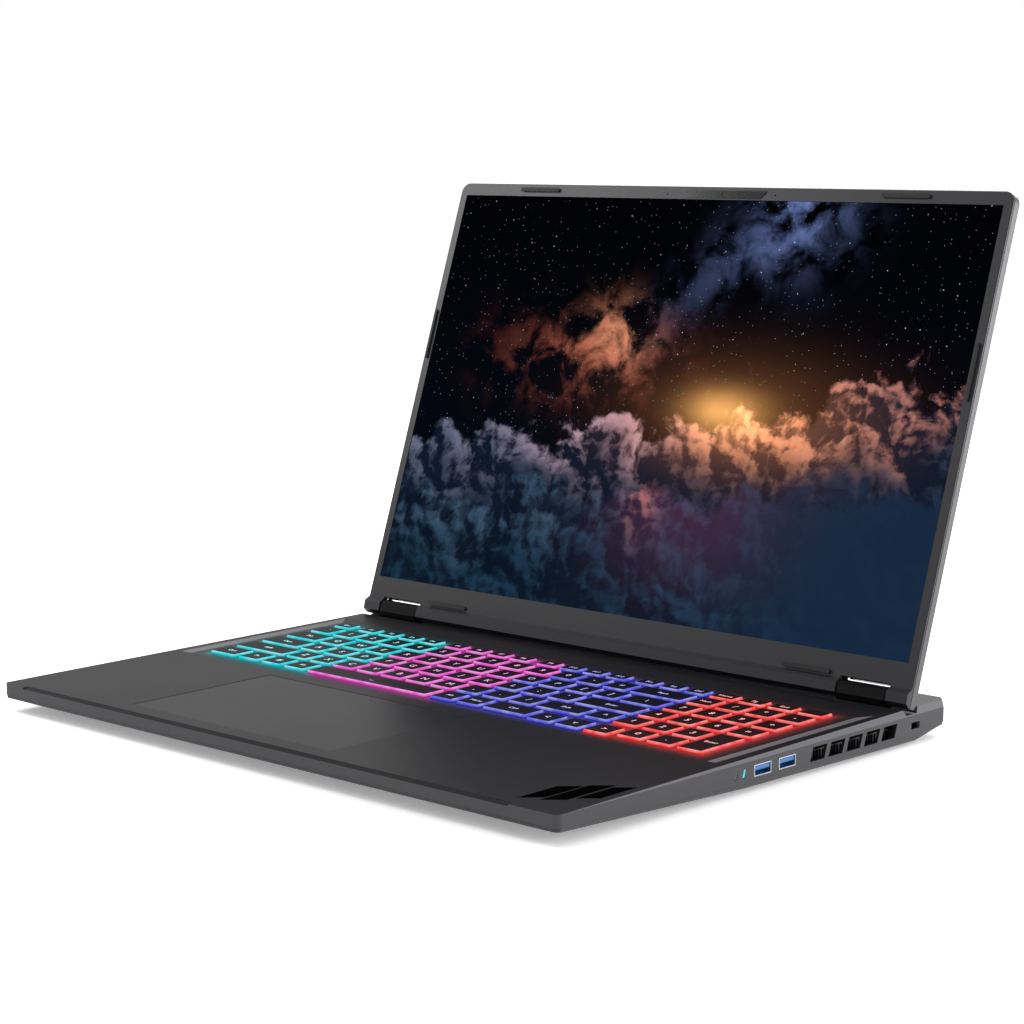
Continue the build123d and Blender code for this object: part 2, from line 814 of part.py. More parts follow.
with BuildPart() as motherboard:
    with BuildSketch(Plane.XY.offset(board_underside)):
        with BuildLine():
            Polyline(
                (-board_half_width, front + board_front),
                (board_half_width, front + board_front),
                (board_half_width, front + board_front + board_strip),
                (board_neck, front + board_front + board_strip),
                (board_neck, front + board_rear),
                (-board_neck, front + board_rear),
                (-board_neck, front + board_front + board_strip),
                (-board_half_width, front + board_front + board_strip),
                close=True,
            )
        make_face()
    extrude(amount=board_thickness)
    # The two processors under their cold plates, with the memory chips around them.
    with BuildSketch(Plane.XY.offset(board_underside)):
        with Locations((-cooler_x, cooler_y), (cooler_x, cooler_y)):
            Rectangle(chip_size, chip_size)
        with Locations((0, cooler_y - chip_row_ahead)):
            with GridLocations(chip_size, chip_size, chip_row_count, 1):
                Rectangle(chip_size / 2, chip_size / 2)
    extrude(amount=-chip_height)
keep(motherboard, "motherboard")

plate_low = board_underside - chip_height - cold_plate_thickness
pipe_level = plate_low - pipe_radius
with BuildPart() as heat_pipes:
    with BuildSketch(Plane.XY.offset(plate_low)):
        with Locations((-cooler_x, cooler_y), (cooler_x, cooler_y)):
            RectangleRounded(cooler_width, cooler_depth, pipe_radius)
    extrude(amount=cold_plate_thickness)
    for side in (-1, 1):
        for index in range(pipe_count):
            x = side * (cooler_x + pipe_pitch * (pipe_count - 1 - index))
            y = front + pipe_run + index * pipe_pitch
            with BuildLine():
                route = FilletPolyline(
                    (x, cooler_y - cooler_depth / 2, pipe_level),
                    (x, y, pipe_level),
                    (side * (rear_fin_outer - fin_pitch), y, pipe_level),
                    radius=pipe_bend,
                )
            with BuildSketch(Plane(origin=route @ 0, z_dir=route % 0)):
                Circle(pipe_radius)
            sweep(path=route)
keep(heat_pipes, "heat_pipes")

with BuildPart() as heatsink_fins:
    # Side stacks: the air leaves through the vents in the case's sides.
    for side in (-1, 1):
        middle = side * (fin_inner + fin_outer) / 2
        with BuildSketch(Plane.XY.offset(fin_low)):
            with Locations((middle, front + fan_centre_behind_front)):
                Rectangle(fin_outer - fin_inner, side_fin_length)
        extrude(amount=fin_height)
        with BuildSketch(Plane.XY.offset(fin_low + fin_thickness)):
            with Locations((middle, front + fan_centre_behind_front)):
                with GridLocations(1, fin_pitch, 1, int(side_fin_length / fin_pitch) - 1):
                    Rectangle(fin_outer - fin_inner, fin_pitch - fin_thickness)
        extrude(amount=fin_height - 2 * fin_thickness, mode=Mode.SUBTRACT)
    # Rear stacks, soldered on top of the heat pipes.
    for side in (-1, 1):
        middle = side * (rear_fin_inner + rear_fin_outer) / 2
        with BuildSketch(Plane.XY.offset(plate_low)):
            with Locations((middle, front + (rear_fin_front + rear_fin_rear) / 2)):
                Rectangle(rear_fin_outer - rear_fin_inner, rear_fin_rear - rear_fin_front)
        extrude(amount=rear_fin_height)
        with BuildSketch(Plane.XY.offset(plate_low + fin_thickness)):
            with Locations((middle, front + (rear_fin_front + rear_fin_rear) / 2)):
                rear_fin_gaps = int((rear_fin_outer - rear_fin_inner) / fin_pitch) - 1
                with GridLocations(fin_pitch, 1, rear_fin_gaps, 1):
                    Rectangle(fin_pitch - fin_thickness, rear_fin_rear - rear_fin_front)
        extrude(amount=rear_fin_height - 2 * fin_thickness, mode=Mode.SUBTRACT)
keep(heatsink_fins, "heatsink_fins")


def build_fan(side, name):
    """A blower: its housing with a fixed shaft, and the rotor that runs on it."""
    centre = (side * fan_centre_x, front + fan_centre_behind_front)
    with BuildPart() as housing:
        with BuildSketch(Plane.XY.offset(belly_floor)):
            with Locations(centre):
                RectangleRounded(fan_size, fan_size, fan_corner)
        extrude(amount=fan_height)
        with BuildSketch(Plane.XY.offset(belly_floor + fan_wall)):
            with Locations(centre):
                Circle(rotor_radius + rotor_gap)
            # Outlets towards the side of the case and towards the rear.
            with Locations((centre[0] + side * fan_size / 4, centre[1])):
                Rectangle(fan_size / 2, 2 * rotor_radius)
            with Locations((centre[0], centre[1] + fan_size / 4)):
                Rectangle(2 * rotor_radius, fan_size / 2)
        extrude(amount=fan_height - 2 * fan_wall, mode=Mode.SUBTRACT)
        with BuildSketch(Plane.XY.offset(belly_floor)):
            with Locations(centre):
                Circle(fan_intake_radius)
                Circle(hub_radius / 2, mode=Mode.SUBTRACT)
                Rectangle(2 * fan_intake_radius, shaft_radius, mode=Mode.SUBTRACT)
        extrude(amount=fan_wall, mode=Mode.SUBTRACT)
        with BuildSketch(Plane.XY.offset(belly_floor + fan_wall)):
            with Locations(centre):
                Circle(shaft_radius)
        extrude(amount=fan_height - 3 * fan_wall)
    keep(housing, f"fan_{name}_housing")
    with BuildPart() as rotor:
        blade_height = fan_height - 4 * fan_wall
        with BuildSketch(Plane.XY.offset(belly_floor + 2 * fan_wall)):
            with Locations(centre):
                Circle(hub_radius)
                with PolarLocations((hub_radius + rotor_radius) / 2 - blade_thickness, blade_count):
                    Rectangle(rotor_radius - hub_radius + blade_thickness, blade_thickness)
                Circle(shaft_radius + shaft_clearance, mode=Mode.SUBTRACT)
        extrude(amount=blade_height)
    keep(rotor, f"fan_{name}_rotor")


build_fan(-1, "left")
build_fan(1, "right")

with BuildPart() as memory_modules:
    with BuildSketch(Plane.XY.offset(board_underside)):
        with Locations((-memory_x, memory_y), (memory_x, memory_y)):
            Rectangle(memory_width, memory_depth)
    extrude(amount=-module_thickness)
    with BuildSketch(Plane.XY.offset(board_underside - module_thickness)):
        with Locations((-memory_x, memory_y), (memory_x, memory_y)):
            with GridLocations(memory_width / 4, 1, 4, 1):
                Rectangle(chip_size / 2, chip_size)
    extrude(amount=-chip_height)
keep(memory_modules, "memory_modules")

with BuildPart() as ssd_modules:
    with BuildSketch(Plane.XY.offset(board_underside)):
        with Locations((-ssd_x, memory_y), (ssd_x, memory_y)):
            Rectangle(ssd_length, ssd_width)
    extrude(amount=-module_thickness)
    with BuildSketch(Plane.XY.offset(board_underside - module_thickness)):
        with Locations((-ssd_x, memory_y), (ssd_x, memory_y)):
            with GridLocations(ssd_length / 3, 1, 3, 1):
                Rectangle(chip_size, chip_size)
    extrude(amount=-chip_height)
keep(ssd_modules, "ssd_modules")

with BuildPart() as wireless_card:
    with BuildSketch(Plane.XY.offset(board_underside)):
        with Locations((0, front + wireless_place)):
            Rectangle(ssd_width, memory_depth)
    extrude(amount=-module_thickness)
    with BuildSketch(Plane.XY.offset(board_underside - module_thickness)):
        with Locations((0, front + wireless_place)):
            Rectangle(chip_size, chip_size)
    extrude(amount=-chip_height)
keep(wireless_card, "wireless_card")

with BuildPart() as speakers:
    with BuildSketch(Plane.XY.offset(front_edge_height + side_lower_edge(speaker_front) + seam_gap)):
        for side in (-1, 1):
            with Locations((side * speaker_x, front + speaker_front + speaker_depth / 2)):
                RectangleRounded(speaker_width, speaker_depth, speaker_corner_radius)
    extrude(amount=speaker_height)
keep(speakers, "speakers")

# ---- Ports, lights and sockets -------------------------------------------------------------------------
with BuildPart() as port_shells:
    for side, place in side_ports:
        with Locations(
            (side * (half_width - usb_depth / 2), front + place, front_edge_height - port_drop)
        ):
            Box(usb_depth, usb_width, usb_height)
        with Locations(
            (side * (half_width - usb_depth / 2 + usb_wall), front + place, front_edge_height - port_drop)
        ):
            Box(usb_depth, usb_width - 2 * usb_wall, usb_height - 2 * usb_wall, mode=Mode.SUBTRACT)
    for x, wide, tall in rear_holes:
        level = front_edge_height - rear_port_drop
        with Locations((x, front + case_depth - rear_port_depth / 2, level)):
            Box(wide, rear_port_depth, tall)
        with Locations((x, front + case_depth - rear_port_depth / 2 + usb_wall, level)):
            Box(wide - 2 * usb_wall, rear_port_depth, tall - 2 * usb_wall, mode=Mode.SUBTRACT)
    lock_x = half_width - case_wall
    with Locations((lock_x - plate_thickness / 2, front + lock_place, front_edge_height - port_drop)):
        Box(plate_thickness, lock_width + lock_plate_margin, lock_height + lock_plate_margin)
        Box(plate_thickness, lock_width, lock_height, mode=Mode.SUBTRACT)
keep(port_shells, "port_shells")

with BuildPart() as port_tongues:
    for side, place in side_ports:
        reach = usb_depth - 2 * usb_wall
        with Locations(
            (
                side * (half_width - usb_depth + usb_wall + reach / 2),
                front + place,
                front_edge_height - port_drop + usb_tongue_height / 2,
            )
        ):
            Box(reach, usb_width - 4 * usb_wall, usb_tongue_height)
    for x, wide, tall in rear_holes:
        reach = rear_port_depth - 2 * usb_wall
        with Locations(
            (
                x,
                front + case_depth - rear_port_depth + usb_wall + reach / 2,
                front_edge_height - rear_port_drop,
            )
        ):
            Box(wide - 5 * usb_wall, reach, tall / 4)
keep(port_tongues, "port_tongues")

with BuildPart() as audio_jack:
    with Locations(
        (-(half_width - jack_length / 2), front + jack_place, front_edge_height - port_drop)
    ):
        Cylinder(jack_radius + jack_wall, jack_length, rotation=(0, 90, 0))
        Cylinder(jack_radius, jack_length, rotation=(0, 90, 0), mode=Mode.SUBTRACT)
keep(audio_jack, "audio_jack")

with BuildPart() as power_inlet:
    with Locations(
        (inlet_place, front + case_depth - rear_port_depth / 2, front_edge_height - rear_port_drop)
    ):
        Cylinder(inlet_radius + usb_wall, rear_port_depth, rotation=(90, 0, 0))
    with Locations(
        (
            inlet_place,
            front + case_depth - rear_port_depth / 2 + usb_wall,
            front_edge_height - rear_port_drop,
        )
    ):
        Cylinder(inlet_radius, rear_port_depth, rotation=(90, 0, 0), mode=Mode.SUBTRACT)
    with Locations(
        (
            inlet_place,
            front + case_depth - rear_port_depth / 2 - usb_wall,
            front_edge_height - rear_port_drop,
        )
    ):
        Cylinder(inlet_pin_radius, rear_port_depth - 2 * usb_wall, rotation=(90, 0, 0))
keep(power_inlet, "power_inlet")

with BuildPart() as status_lights:
    with BuildSketch(Plane.YZ.offset(half_width - case_wall - light_tail)):
        for place in light_places:
            with BuildLine():
                Polyline(*light_outline(place), close=True)
            make_face()
    extrude(amount=case_wall + light_tail - seam_gap)
keep(status_lights, "status_lights")

# ---- Hinges --------------------------------------------------------------------------------------------
sleeve_radius = pin_radius + pin_clearance + sleeve_wall
bracket_top = front_edge_height + channel_floor - case_wall
with BuildPart() as hinge_brackets:
    for side in (-1, 1):
        with BuildSketch(Plane.XY.offset(bracket_top)):
            with Locations((side * hinge_middle, hinge_y - bracket_depth / 4)):
                RectangleRounded(neck_width + bracket_depth / 2, bracket_depth, pin_radius)
        extrude(amount=-2 * plate_thickness)
        with Locations((side * hinge_middle, hinge_y, bracket_top - plate_thickness)):
            Box(
                neck_width,
                neck_thickness,
                hinge_height - bracket_top + plate_thickness,
                align=(Align.CENTER, Align.CENTER, Align.MIN),
            )
        with Locations((side * hinge_middle, hinge_y, hinge_height)):
            Cylinder(sleeve_radius, neck_width, rotation=(0, 90, 0))
            Cylinder(pin_radius + pin_clearance, 2 * neck_width, rotation=(0, 90, 0), mode=Mode.SUBTRACT)
keep(hinge_brackets, "hinge_brackets")

# Faceted covers over the sleeves: they stand on the channel floor in the lid's notches.
cover_width = hinge_notch_width - 2 * hinge_gap
cover_foot = chin_nose + channel_clearance
with BuildPart() as hinge_covers:
    for side in (-1, 1):
        with BuildSketch(
            Plane(origin=(side * hinge_middle, hinge_y, hinge_height), x_dir=(0, 1, 0), z_dir=(1, 0, 0))
        ):
            with BuildLine():
                Polyline(
                    *[(ahead * chin_nose, up * chin_nose) for ahead, up in hinge_cover_facets],
                    close=True,
                )
            make_face()
        extrude(amount=cover_width / 2, both=True)
        with Locations((side * hinge_middle, hinge_y, hinge_height)):
            Cylinder(
                sleeve_radius + hinge_gap / 3,
                neck_width + hinge_gap,
                rotation=(0, 90, 0),
                mode=Mode.SUBTRACT,
            )
            Cylinder(
                pin_radius + hinge_gap / 3,
                cover_width + hinge_gap,
                rotation=(0, 90, 0),
                mode=Mode.SUBTRACT,
            )
            Box(
                neck_width + hinge_gap,
                neck_thickness + hinge_gap,
                2 * cover_foot,
                align=(Align.CENTER, Align.CENTER, Align.MAX),
                mode=Mode.SUBTRACT,
            )
keep(hinge_covers, "hinge_covers")

# Lid arms: a pin in the sleeve, a knuckle in the lid's chin, and a strap up inside the lid.
knuckle_inner = hinge_notch_inner + hinge_notch_width + hinge_gap
knuckle_middle = knuckle_inner + arm_width / 2
strap_front = screen_back - strap_gap
with BuildPart() as hinge_arms:
    for side in (-1, 1):
        pin_start = hinge_middle - neck_width / 2
        pin_length = knuckle_inner + arm_width - pin_start
        with Locations((side * (pin_start + pin_length / 2), hinge_y, hinge_height)):
            Cylinder(pin_radius, pin_length, rotation=(0, 90, 0))
        with Locations((side * knuckle_middle, hinge_y, hinge_height)):
            Cylinder(knuckle_radius, arm_width, rotation=(0, 90, 0))
        with BuildSketch(lid_face.offset(strap_front)):
            with Locations((side * knuckle_middle, arm_length / 2)):
                Rectangle(arm_width, arm_length)
        extrude(amount=-arm_thickness)
keep(hinge_arms, "hinge_arms")

# ---- Lid -----------------------------------------------------------------------------------------------
bezel_back = bezel_ahead_of_axis - bezel_thickness
cover_rim = bezel_back - lid_seam
lid_up = Axis((0, hinge_y, hinge_height), (0, sin(lean), cos(lean)))
lid_out = Axis((0, hinge_y, hinge_height), (0, -cos(lean), sin(lean)))


def draw_notches(top):
    """The two hinge notches in the lid's lower edge."""
    for side in (-1, 1):
        with Locations((side * hinge_middle, top - 2 * chin_nose)):
            Rectangle(hinge_notch_width, 4 * chin_nose)


with BuildPart() as lid_back_cover:
    with BuildSketch(lid_section):
        with BuildLine():
            Polyline(
                (cover_rim, -chin_drop),
                (-back_of_lid / 2, -chin_drop),
                (-back_of_lid, -chin_drop / 8),
                (-back_of_lid, lid_reach),
                (cover_rim, lid_reach),
                close=True,
            )
        make_face()
    extrude(amount=lid_width / 2, both=True)
    fillet(lid_back_cover.edges().filter_by(lid_out).group_by(lid_up)[-1], lid_corner_radius)
    back_face = lid_back_cover.faces().filter_by(lid_out).sort_by(lid_out)[0]
    fillet(back_face.edges().sort_by(lid_up)[1:], lid_edge_radius)
    offset(
        amount=-lid_wall,
        openings=lid_back_cover.faces().filter_by(lid_out).sort_by(lid_out)[-1],
    )
    with BuildSketch(lid_face.offset(cover_rim)):
        draw_notches(hinge_notch_top)
    extrude(amount=-2 * lid_thickness, mode=Mode.SUBTRACT)
keep(lid_back_cover, "lid_back_cover")

with BuildPart() as lid_bezel:
    with BuildSketch(lid_section):
        with BuildLine():
            Polyline(
                (bezel_back, lid_reach),
                (bezel_ahead_of_axis, lid_reach),
                (bezel_ahead_of_axis, chin_top),
                (chin_nose, chin_facet * chin_nose),
                (chin_under_ahead * chin_nose, -chin_under_drop * chin_nose),
                (bezel_back + chin_under_lap, -chin_drop),
                (bezel_back, -chin_drop),
                close=True,
            )
        make_face()
    extrude(amount=lid_width / 2, both=True)
    fillet(lid_bezel.edges().filter_by(lid_out).group_by(lid_up)[-1], lid_corner_radius)
    front_face = lid_bezel.faces().filter_by(lid_out).sort_by(lid_out)[-1]
    chamfer(front_face.edges().sort_by(lid_up)[1:], rim_chamfer)
    # Lip that locates the bezel inside the back cover.
    with BuildSketch(lid_face.offset(bezel_back)):
        lip_half = lid_width / 2 - lid_wall - screen_gap
        lip_top = lid_reach - lid_wall - screen_gap
        with Locations((0, (lip_top + lip_low) / 2)):
            RectangleRounded(2 * lip_half, lip_top - lip_low, lid_corner_radius - lid_wall)
            RectangleRounded(
                2 * (lip_half - lip_thickness),
                lip_top - lip_low - 2 * lip_thickness,
                lid_corner_radius - lid_wall - lip_thickness,
                mode=Mode.SUBTRACT,
            )
    extrude(amount=-lid_seam - lip_thickness)
    # Screen opening, hinge notches, knuckle sockets and the hollow of the chin.
    with BuildSketch(lid_face.offset(bezel_ahead_of_axis)):
        with Locations((0, screen_above_axis + screen_height / 2)):
            Rectangle(screen_width, screen_height)
    extrude(amount=-bezel_thickness, mode=Mode.SUBTRACT)
    with BuildSketch(lid_face.offset(chin_nose + 1)):
        draw_notches(hinge_notch_top)
    extrude(amount=-2 * lid_thickness, mode=Mode.SUBTRACT)
    for side in (-1, 1):
        with Locations((side * knuckle_middle, hinge_y, hinge_height)):
            Cylinder(
                knuckle_radius + hinge_gap / 3,
                arm_width + 2 * hinge_gap,
                rotation=(0, 90, 0),
                mode=Mode.SUBTRACT,
            )
    with BuildSketch(lid_face.offset(bezel_back)):
        with Locations((0, chin_hollow / 4)):
            Rectangle(2 * (hinge_notch_inner - chin_nose), chin_hollow)
    extrude(amount=chin_hollow / 2, mode=Mode.SUBTRACT)
    # Camera hole and the two microphone holes.
    with BuildSketch(lid_face.offset(bezel_ahead_of_axis)):
        with Locations((camera_x, camera_up)):
            Circle(lens_radius + hinge_gap / 3)
        with Locations(*[(x, camera_up) for x in microphone_places]):
            Circle(microphone_radius)
    extrude(amount=-bezel_thickness, mode=Mode.SUBTRACT)
keep(lid_bezel, "lid_bezel")

with BuildPart() as lcd_panel:
    with BuildSketch(lid_face.offset(bezel_back)):
        with Locations((0, (lcd_low + lcd_top) / 2)):
            Rectangle(screen_width + 2 * lcd_border, lcd_top - lcd_low)
    extrude(amount=screen_back - bezel_back)
keep(lcd_panel, "lcd_panel")

with BuildPart() as screen_glass:
    with BuildSketch(lid_face.offset(bezel_back)):
        with Locations((0, screen_above_axis + screen_height / 2)):
            Rectangle(screen_width - 2 * screen_gap, screen_height - 2 * screen_gap)
    extrude(amount=bezel_thickness - screen_recess)
keep(screen_glass, "screen_glass")

with BuildPart() as webcam_module:
    with BuildSketch(lid_face.offset(bezel_back)):
        with Locations((camera_x, camera_up)):
            Rectangle(camera_board_width, camera_board_height)
    extrude(amount=-plate_thickness)
    with BuildSketch(lid_face.offset(bezel_back)):
        with Locations((camera_x, camera_up)):
            Circle(lens_radius)
            Circle(lens_radius / 3, mode=Mode.SUBTRACT)
    extrude(amount=bezel_thickness + window_rise / 2)
    with BuildSketch(lid_face.offset(bezel_back)):
        with Locations((camera_x, camera_up)):
            Circle(lens_radius / 3)
    extrude(amount=bezel_thickness)
keep(webcam_module, "webcam_module")

with BuildPart() as webcam_window:
    with BuildSketch(lid_face.offset(bezel_ahead_of_axis)):
        with BuildLine():
            Polyline(
                (window_left, window_top),
                (window_left + window_slant, window_low),
                (window_right - window_slant, window_low),
                (window_right, window_top),
                close=True,
            )
        make_face()
        with Locations((camera_x, camera_up)):
            Circle(lens_radius + screen_gap, mode=Mode.SUBTRACT)
    extrude(amount=window_rise)
keep(webcam_window, "webcam_window")

with BuildPart() as lid_rubber_stops:
    with BuildSketch(lid_face.offset(bezel_ahead_of_axis)):
        for side in (-1, 1):
            for height in (top_stop_up, low_stop_up):
                with Locations((side * stop_x, height)):
                    SlotOverall(stop_length, stop_width)
            with Locations((side * (screen_width / 2 + side_stop_in), side_stop_up)):
                SlotOverall(stop_length, side_stop_width, rotation=90)
    extrude(amount=stop_height)
keep(lid_rubber_stops, "lid_rubber_stops")

os.makedirs("parts", exist_ok=True)
for piece, label in pieces:
    export_step(piece.part, f"parts/{label}.step")
    print(label, round(piece.part.volume))
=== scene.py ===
"""A large notebook computer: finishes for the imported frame, and the details that the frame leaves out."""
import json
import math

import bmesh
import bpy
from mathutils import Matrix, Vector


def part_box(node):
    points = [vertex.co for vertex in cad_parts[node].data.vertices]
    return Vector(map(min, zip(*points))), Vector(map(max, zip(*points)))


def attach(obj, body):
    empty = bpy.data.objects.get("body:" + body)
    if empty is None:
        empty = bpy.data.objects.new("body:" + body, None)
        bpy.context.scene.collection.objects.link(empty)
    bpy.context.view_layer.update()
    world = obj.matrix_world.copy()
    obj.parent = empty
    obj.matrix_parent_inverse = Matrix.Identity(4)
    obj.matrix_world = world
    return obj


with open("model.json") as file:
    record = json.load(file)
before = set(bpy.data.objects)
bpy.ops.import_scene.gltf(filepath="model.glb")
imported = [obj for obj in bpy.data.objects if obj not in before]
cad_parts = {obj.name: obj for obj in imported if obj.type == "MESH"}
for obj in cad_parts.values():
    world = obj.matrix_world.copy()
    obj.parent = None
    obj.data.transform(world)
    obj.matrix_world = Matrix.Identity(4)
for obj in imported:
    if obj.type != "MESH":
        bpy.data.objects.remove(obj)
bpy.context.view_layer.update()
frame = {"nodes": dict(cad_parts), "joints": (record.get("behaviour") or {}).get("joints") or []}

bl_info = {
    "name": "Notebook Computer",
    "version": (1, 0, 0),
    "blender": (4, 5, 0),
    "location": "View3D > Sidebar > Notebook",
    "description": "Finishes and details of an open notebook computer with a lit keyboard",
    "category": "Object",
}

MM = 0.001
TRIM_WIDTH = 27.0 * MM          # the bright bar above a hinge cover
TRIM_DEPTH = 1.2 * MM
TRIM_TOP = 7.0 * MM             # up the lid from the hinge axis
TRIM_BEHIND = 3.6 * MM          # behind the hinge axis
DECK_SLOPE = math.radians(0.7)
ZONES = ("left", "middle", "right", "numpad")
ROWS = ("function", "number", "upper", "home", "lower", "space")
GUARD = 0.00002                 # keeps laid-on pieces clear of the face that they lie on

# What is printed on each key, in order from the left, one string for each group of keys.
LEGENDS = {
    "function_left": "Esc F1 F2 F3 F4",
    "function_middle": "F5 F6 F7 F8 F9",
    "function_right": "F10 F11 F12 Prt Ins Del",
    "function_numpad": "Home Pg End",
    "number_left": "` 1 2 3 4",
    "number_middle": "5 6 7 8 9",
    "number_right": "0 - = Back",
    "number_numpad": "Num / * -",
    "upper_left": "Tab Q W E",
    "upper_middle": "R T Y U I",
    "upper_right": "O P [ ] \\",
    "upper_numpad": "7 8 9 +",
    "home_left": "Caps A S D",
    "home_middle": "F G H J K",
    "home_right": "L ; ' Enter",
    "home_numpad": "4 5 6 =",
    "lower_left": "Shift Z X",
    "lower_middle": "C V B N M",
    "lower_right": ", . / Shift ^",
    "lower_numpad": "1 2 3 Enter",
    "space_left": "Ctrl Fn # Alt",
    "space_middle": "_",
    "space_right": "Alt Menu Ctrl < v",
    "space_numpad": "> 0 .",
}

screen_low, screen_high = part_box("screen_glass")
deck_low, deck_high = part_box("upper_case")
hinge = Vector(frame["joints"][0]["pos_m"])
LEAN = math.atan2(screen_high.y - screen_low.y, screen_high.z - screen_low.z)
screen_tall = (screen_high.z - screen_low.z) / math.cos(LEAN)


# ---- Sizes and colours that a user would change --------------------------------------------------------


class CaseLook(bpy.types.PropertyGroup):
    deck_colour: bpy.props.FloatVectorProperty(
        name="Deck colour", description="Paint of the keyboard deck and the sides", subtype="COLOR",
        size=3, min=0.0, max=1.0, default=(0.0115, 0.0111, 0.0125),
    )
    # A lighter colour for the side chamfers, which stands in for the light that they catch: a painted
    # highlight.
    chamfer_colour_painted_highlight: bpy.props.FloatVectorProperty(
        name="Chamfer colour", subtype="COLOR", size=3, min=0.0, max=1.0, default=(0.135, 0.132, 0.142),
    )
    # A lighter colour for the sides and the other upright faces, which stands in for the light that they
    # catch: painted light.
    side_colour_painted_light: bpy.props.FloatVectorProperty(
        name="Side colour", subtype="COLOR", size=3, min=0.0, max=1.0, default=(0.060, 0.059, 0.064),
    )
    lid_colour: bpy.props.FloatVectorProperty(
        name="Lid colour", description="Paint of the lid's back cover", subtype="COLOR",
        size=3, min=0.0, max=1.0, default=(0.050, 0.049, 0.054),
    )
    bezel_colour: bpy.props.FloatVectorProperty(
        name="Bezel colour", description="Plastic around the display", subtype="COLOR",
        size=3, min=0.0, max=1.0, default=(0.009, 0.008, 0.0105),
    )
    roughness: bpy.props.FloatProperty(
        name="Deck roughness", description="How matte the painted metal is", subtype="FACTOR",
        min=0.0, max=1.0, default=0.40,
    )


class KeyLight(bpy.types.PropertyGroup):
    left: bpy.props.FloatVectorProperty(
        name="Left", description="Light of the left keys", subtype="COLOR",
        size=3, min=0.0, max=1.0, default=(0.0, 0.70, 0.76),
    )
    middle: bpy.props.FloatVectorProperty(
        name="Middle", description="Light of the middle keys", subtype="COLOR",
        size=3, min=0.0, max=1.0, default=(0.80, 0.12, 0.62),
    )
    right: bpy.props.FloatVectorProperty(
        name="Right", description="Light of the right keys", subtype="COLOR",
        size=3, min=0.0, max=1.0, default=(0.13, 0.13, 0.72),
    )
    numpad: bpy.props.FloatVectorProperty(
        name="Number pad", description="Light of the number pad", subtype="COLOR",
        size=3, min=0.0, max=1.0, default=(0.95, 0.085, 0.08),
    )
    strength: bpy.props.FloatProperty(
        name="Strength", description="Brightness of the lit cap sides", min=0.0, max=20.0, default=1.1,
    )


class DisplayLook(bpy.types.PropertyGroup):
    brightness: bpy.props.FloatProperty(
        name="Brightness", description="Brightness of the picture", min=0.0, max=10.0, default=1.0,
    )


class DetailSizes(bpy.types.PropertyGroup):
    letter: bpy.props.FloatProperty(
        name="Letter size", description="Size of the letters on the keys", unit="LENGTH",
        min=0.001, max=0.01, default=0.0058,
    )
    trim: bpy.props.FloatProperty(
        name="Hinge trim", description="Height of the bright bar above each hinge", unit="LENGTH",
        min=0.0002, max=0.003, default=0.0008,
    )


# ---- Node building -------------------------------------------------------------------------------------


def node(tree, kind, sockets=None, **settings):
    """Add a node, with its settings, and fill its sockets with numbers or with other nodes' outputs."""
    made = tree.nodes.new(kind)
    for name, value in settings.items():
        setattr(made, name, value)
    for name, value in (sockets or {}).items():
        if isinstance(value, bpy.types.NodeSocket):
            tree.links.new(value, made.inputs[name])
        else:
            made.inputs[name].default_value = value
    return made


def maths(tree, operation, *values):
    return node(tree, "ShaderNodeMath", dict(enumerate(values)), operation=operation).outputs[0]


def ramp(tree, value, low, high, out_low=0.0, out_high=1.0):
    """A value eased from one level to another."""
    made = node(
        tree, "ShaderNodeMapRange",
        {"Value": value, "From Min": low, "From Max": high, "To Min": out_low, "To Max": out_high},
        interpolation_type="SMOOTHSTEP",
    )
    return made.outputs[0]


def mixed(tree, amount, first, second, blend="MIX"):
    """Two colours mixed; each is a colour or an output."""
    made = node(tree, "ShaderNodeMix", data_type="RGBA", blend_type=blend)
    for socket, value in zip((made.inputs[0], made.inputs[6], made.inputs[7]), (amount, first, second)):
        if isinstance(value, bpy.types.NodeSocket):
            tree.links.new(value, socket)
        elif isinstance(value, (int, float)):
            socket.default_value = value
        else:
            socket.default_value = (*tuple(value)[:3], 1.0)
    return made.outputs[2]


def object_place(tree):
    return node(tree, "ShaderNodeTexCoord").outputs["Object"]


def noise(tree, place, scale, detail=3.0, roughness=0.5, distortion=0.0):
    made = node(
        tree, "ShaderNodeTexNoise",
        {"Vector": place, "Scale": scale, "Detail": detail, "Roughness": roughness, "Distortion": distortion},
    )
    return made.outputs[0]


def new_group(name, inputs, outputs):
    """An empty shader group with its sockets, and its input and output nodes."""
    tree = bpy.data.node_groups.new(name, "ShaderNodeTree")
    for label, kind, default in inputs:
        socket = tree.interface.new_socket(label, in_out="INPUT", socket_type=kind)
        socket.default_value = default
    for label, kind in outputs:
        tree.interface.new_socket(label, in_out="OUTPUT", socket_type=kind)
    return tree, tree.nodes.new("NodeGroupInput"), tree.nodes.new("NodeGroupOutput")


def use_group(tree, name, sockets=None):
    made = node(tree, "ShaderNodeGroup", node_tree=bpy.data.node_groups[name])
    for label, value in (sockets or {}).items():
        if isinstance(value, bpy.types.NodeSocket):
            tree.links.new(value, made.inputs[label])
        else:
            made.inputs[label].default_value = value
    return made


FLOAT, COLOUR = "NodeSocketFloat", "NodeSocketColor"
GRAIN_SHARE = 0.7               # how much of a surface's tone is fine grain, the rest being broad smudges


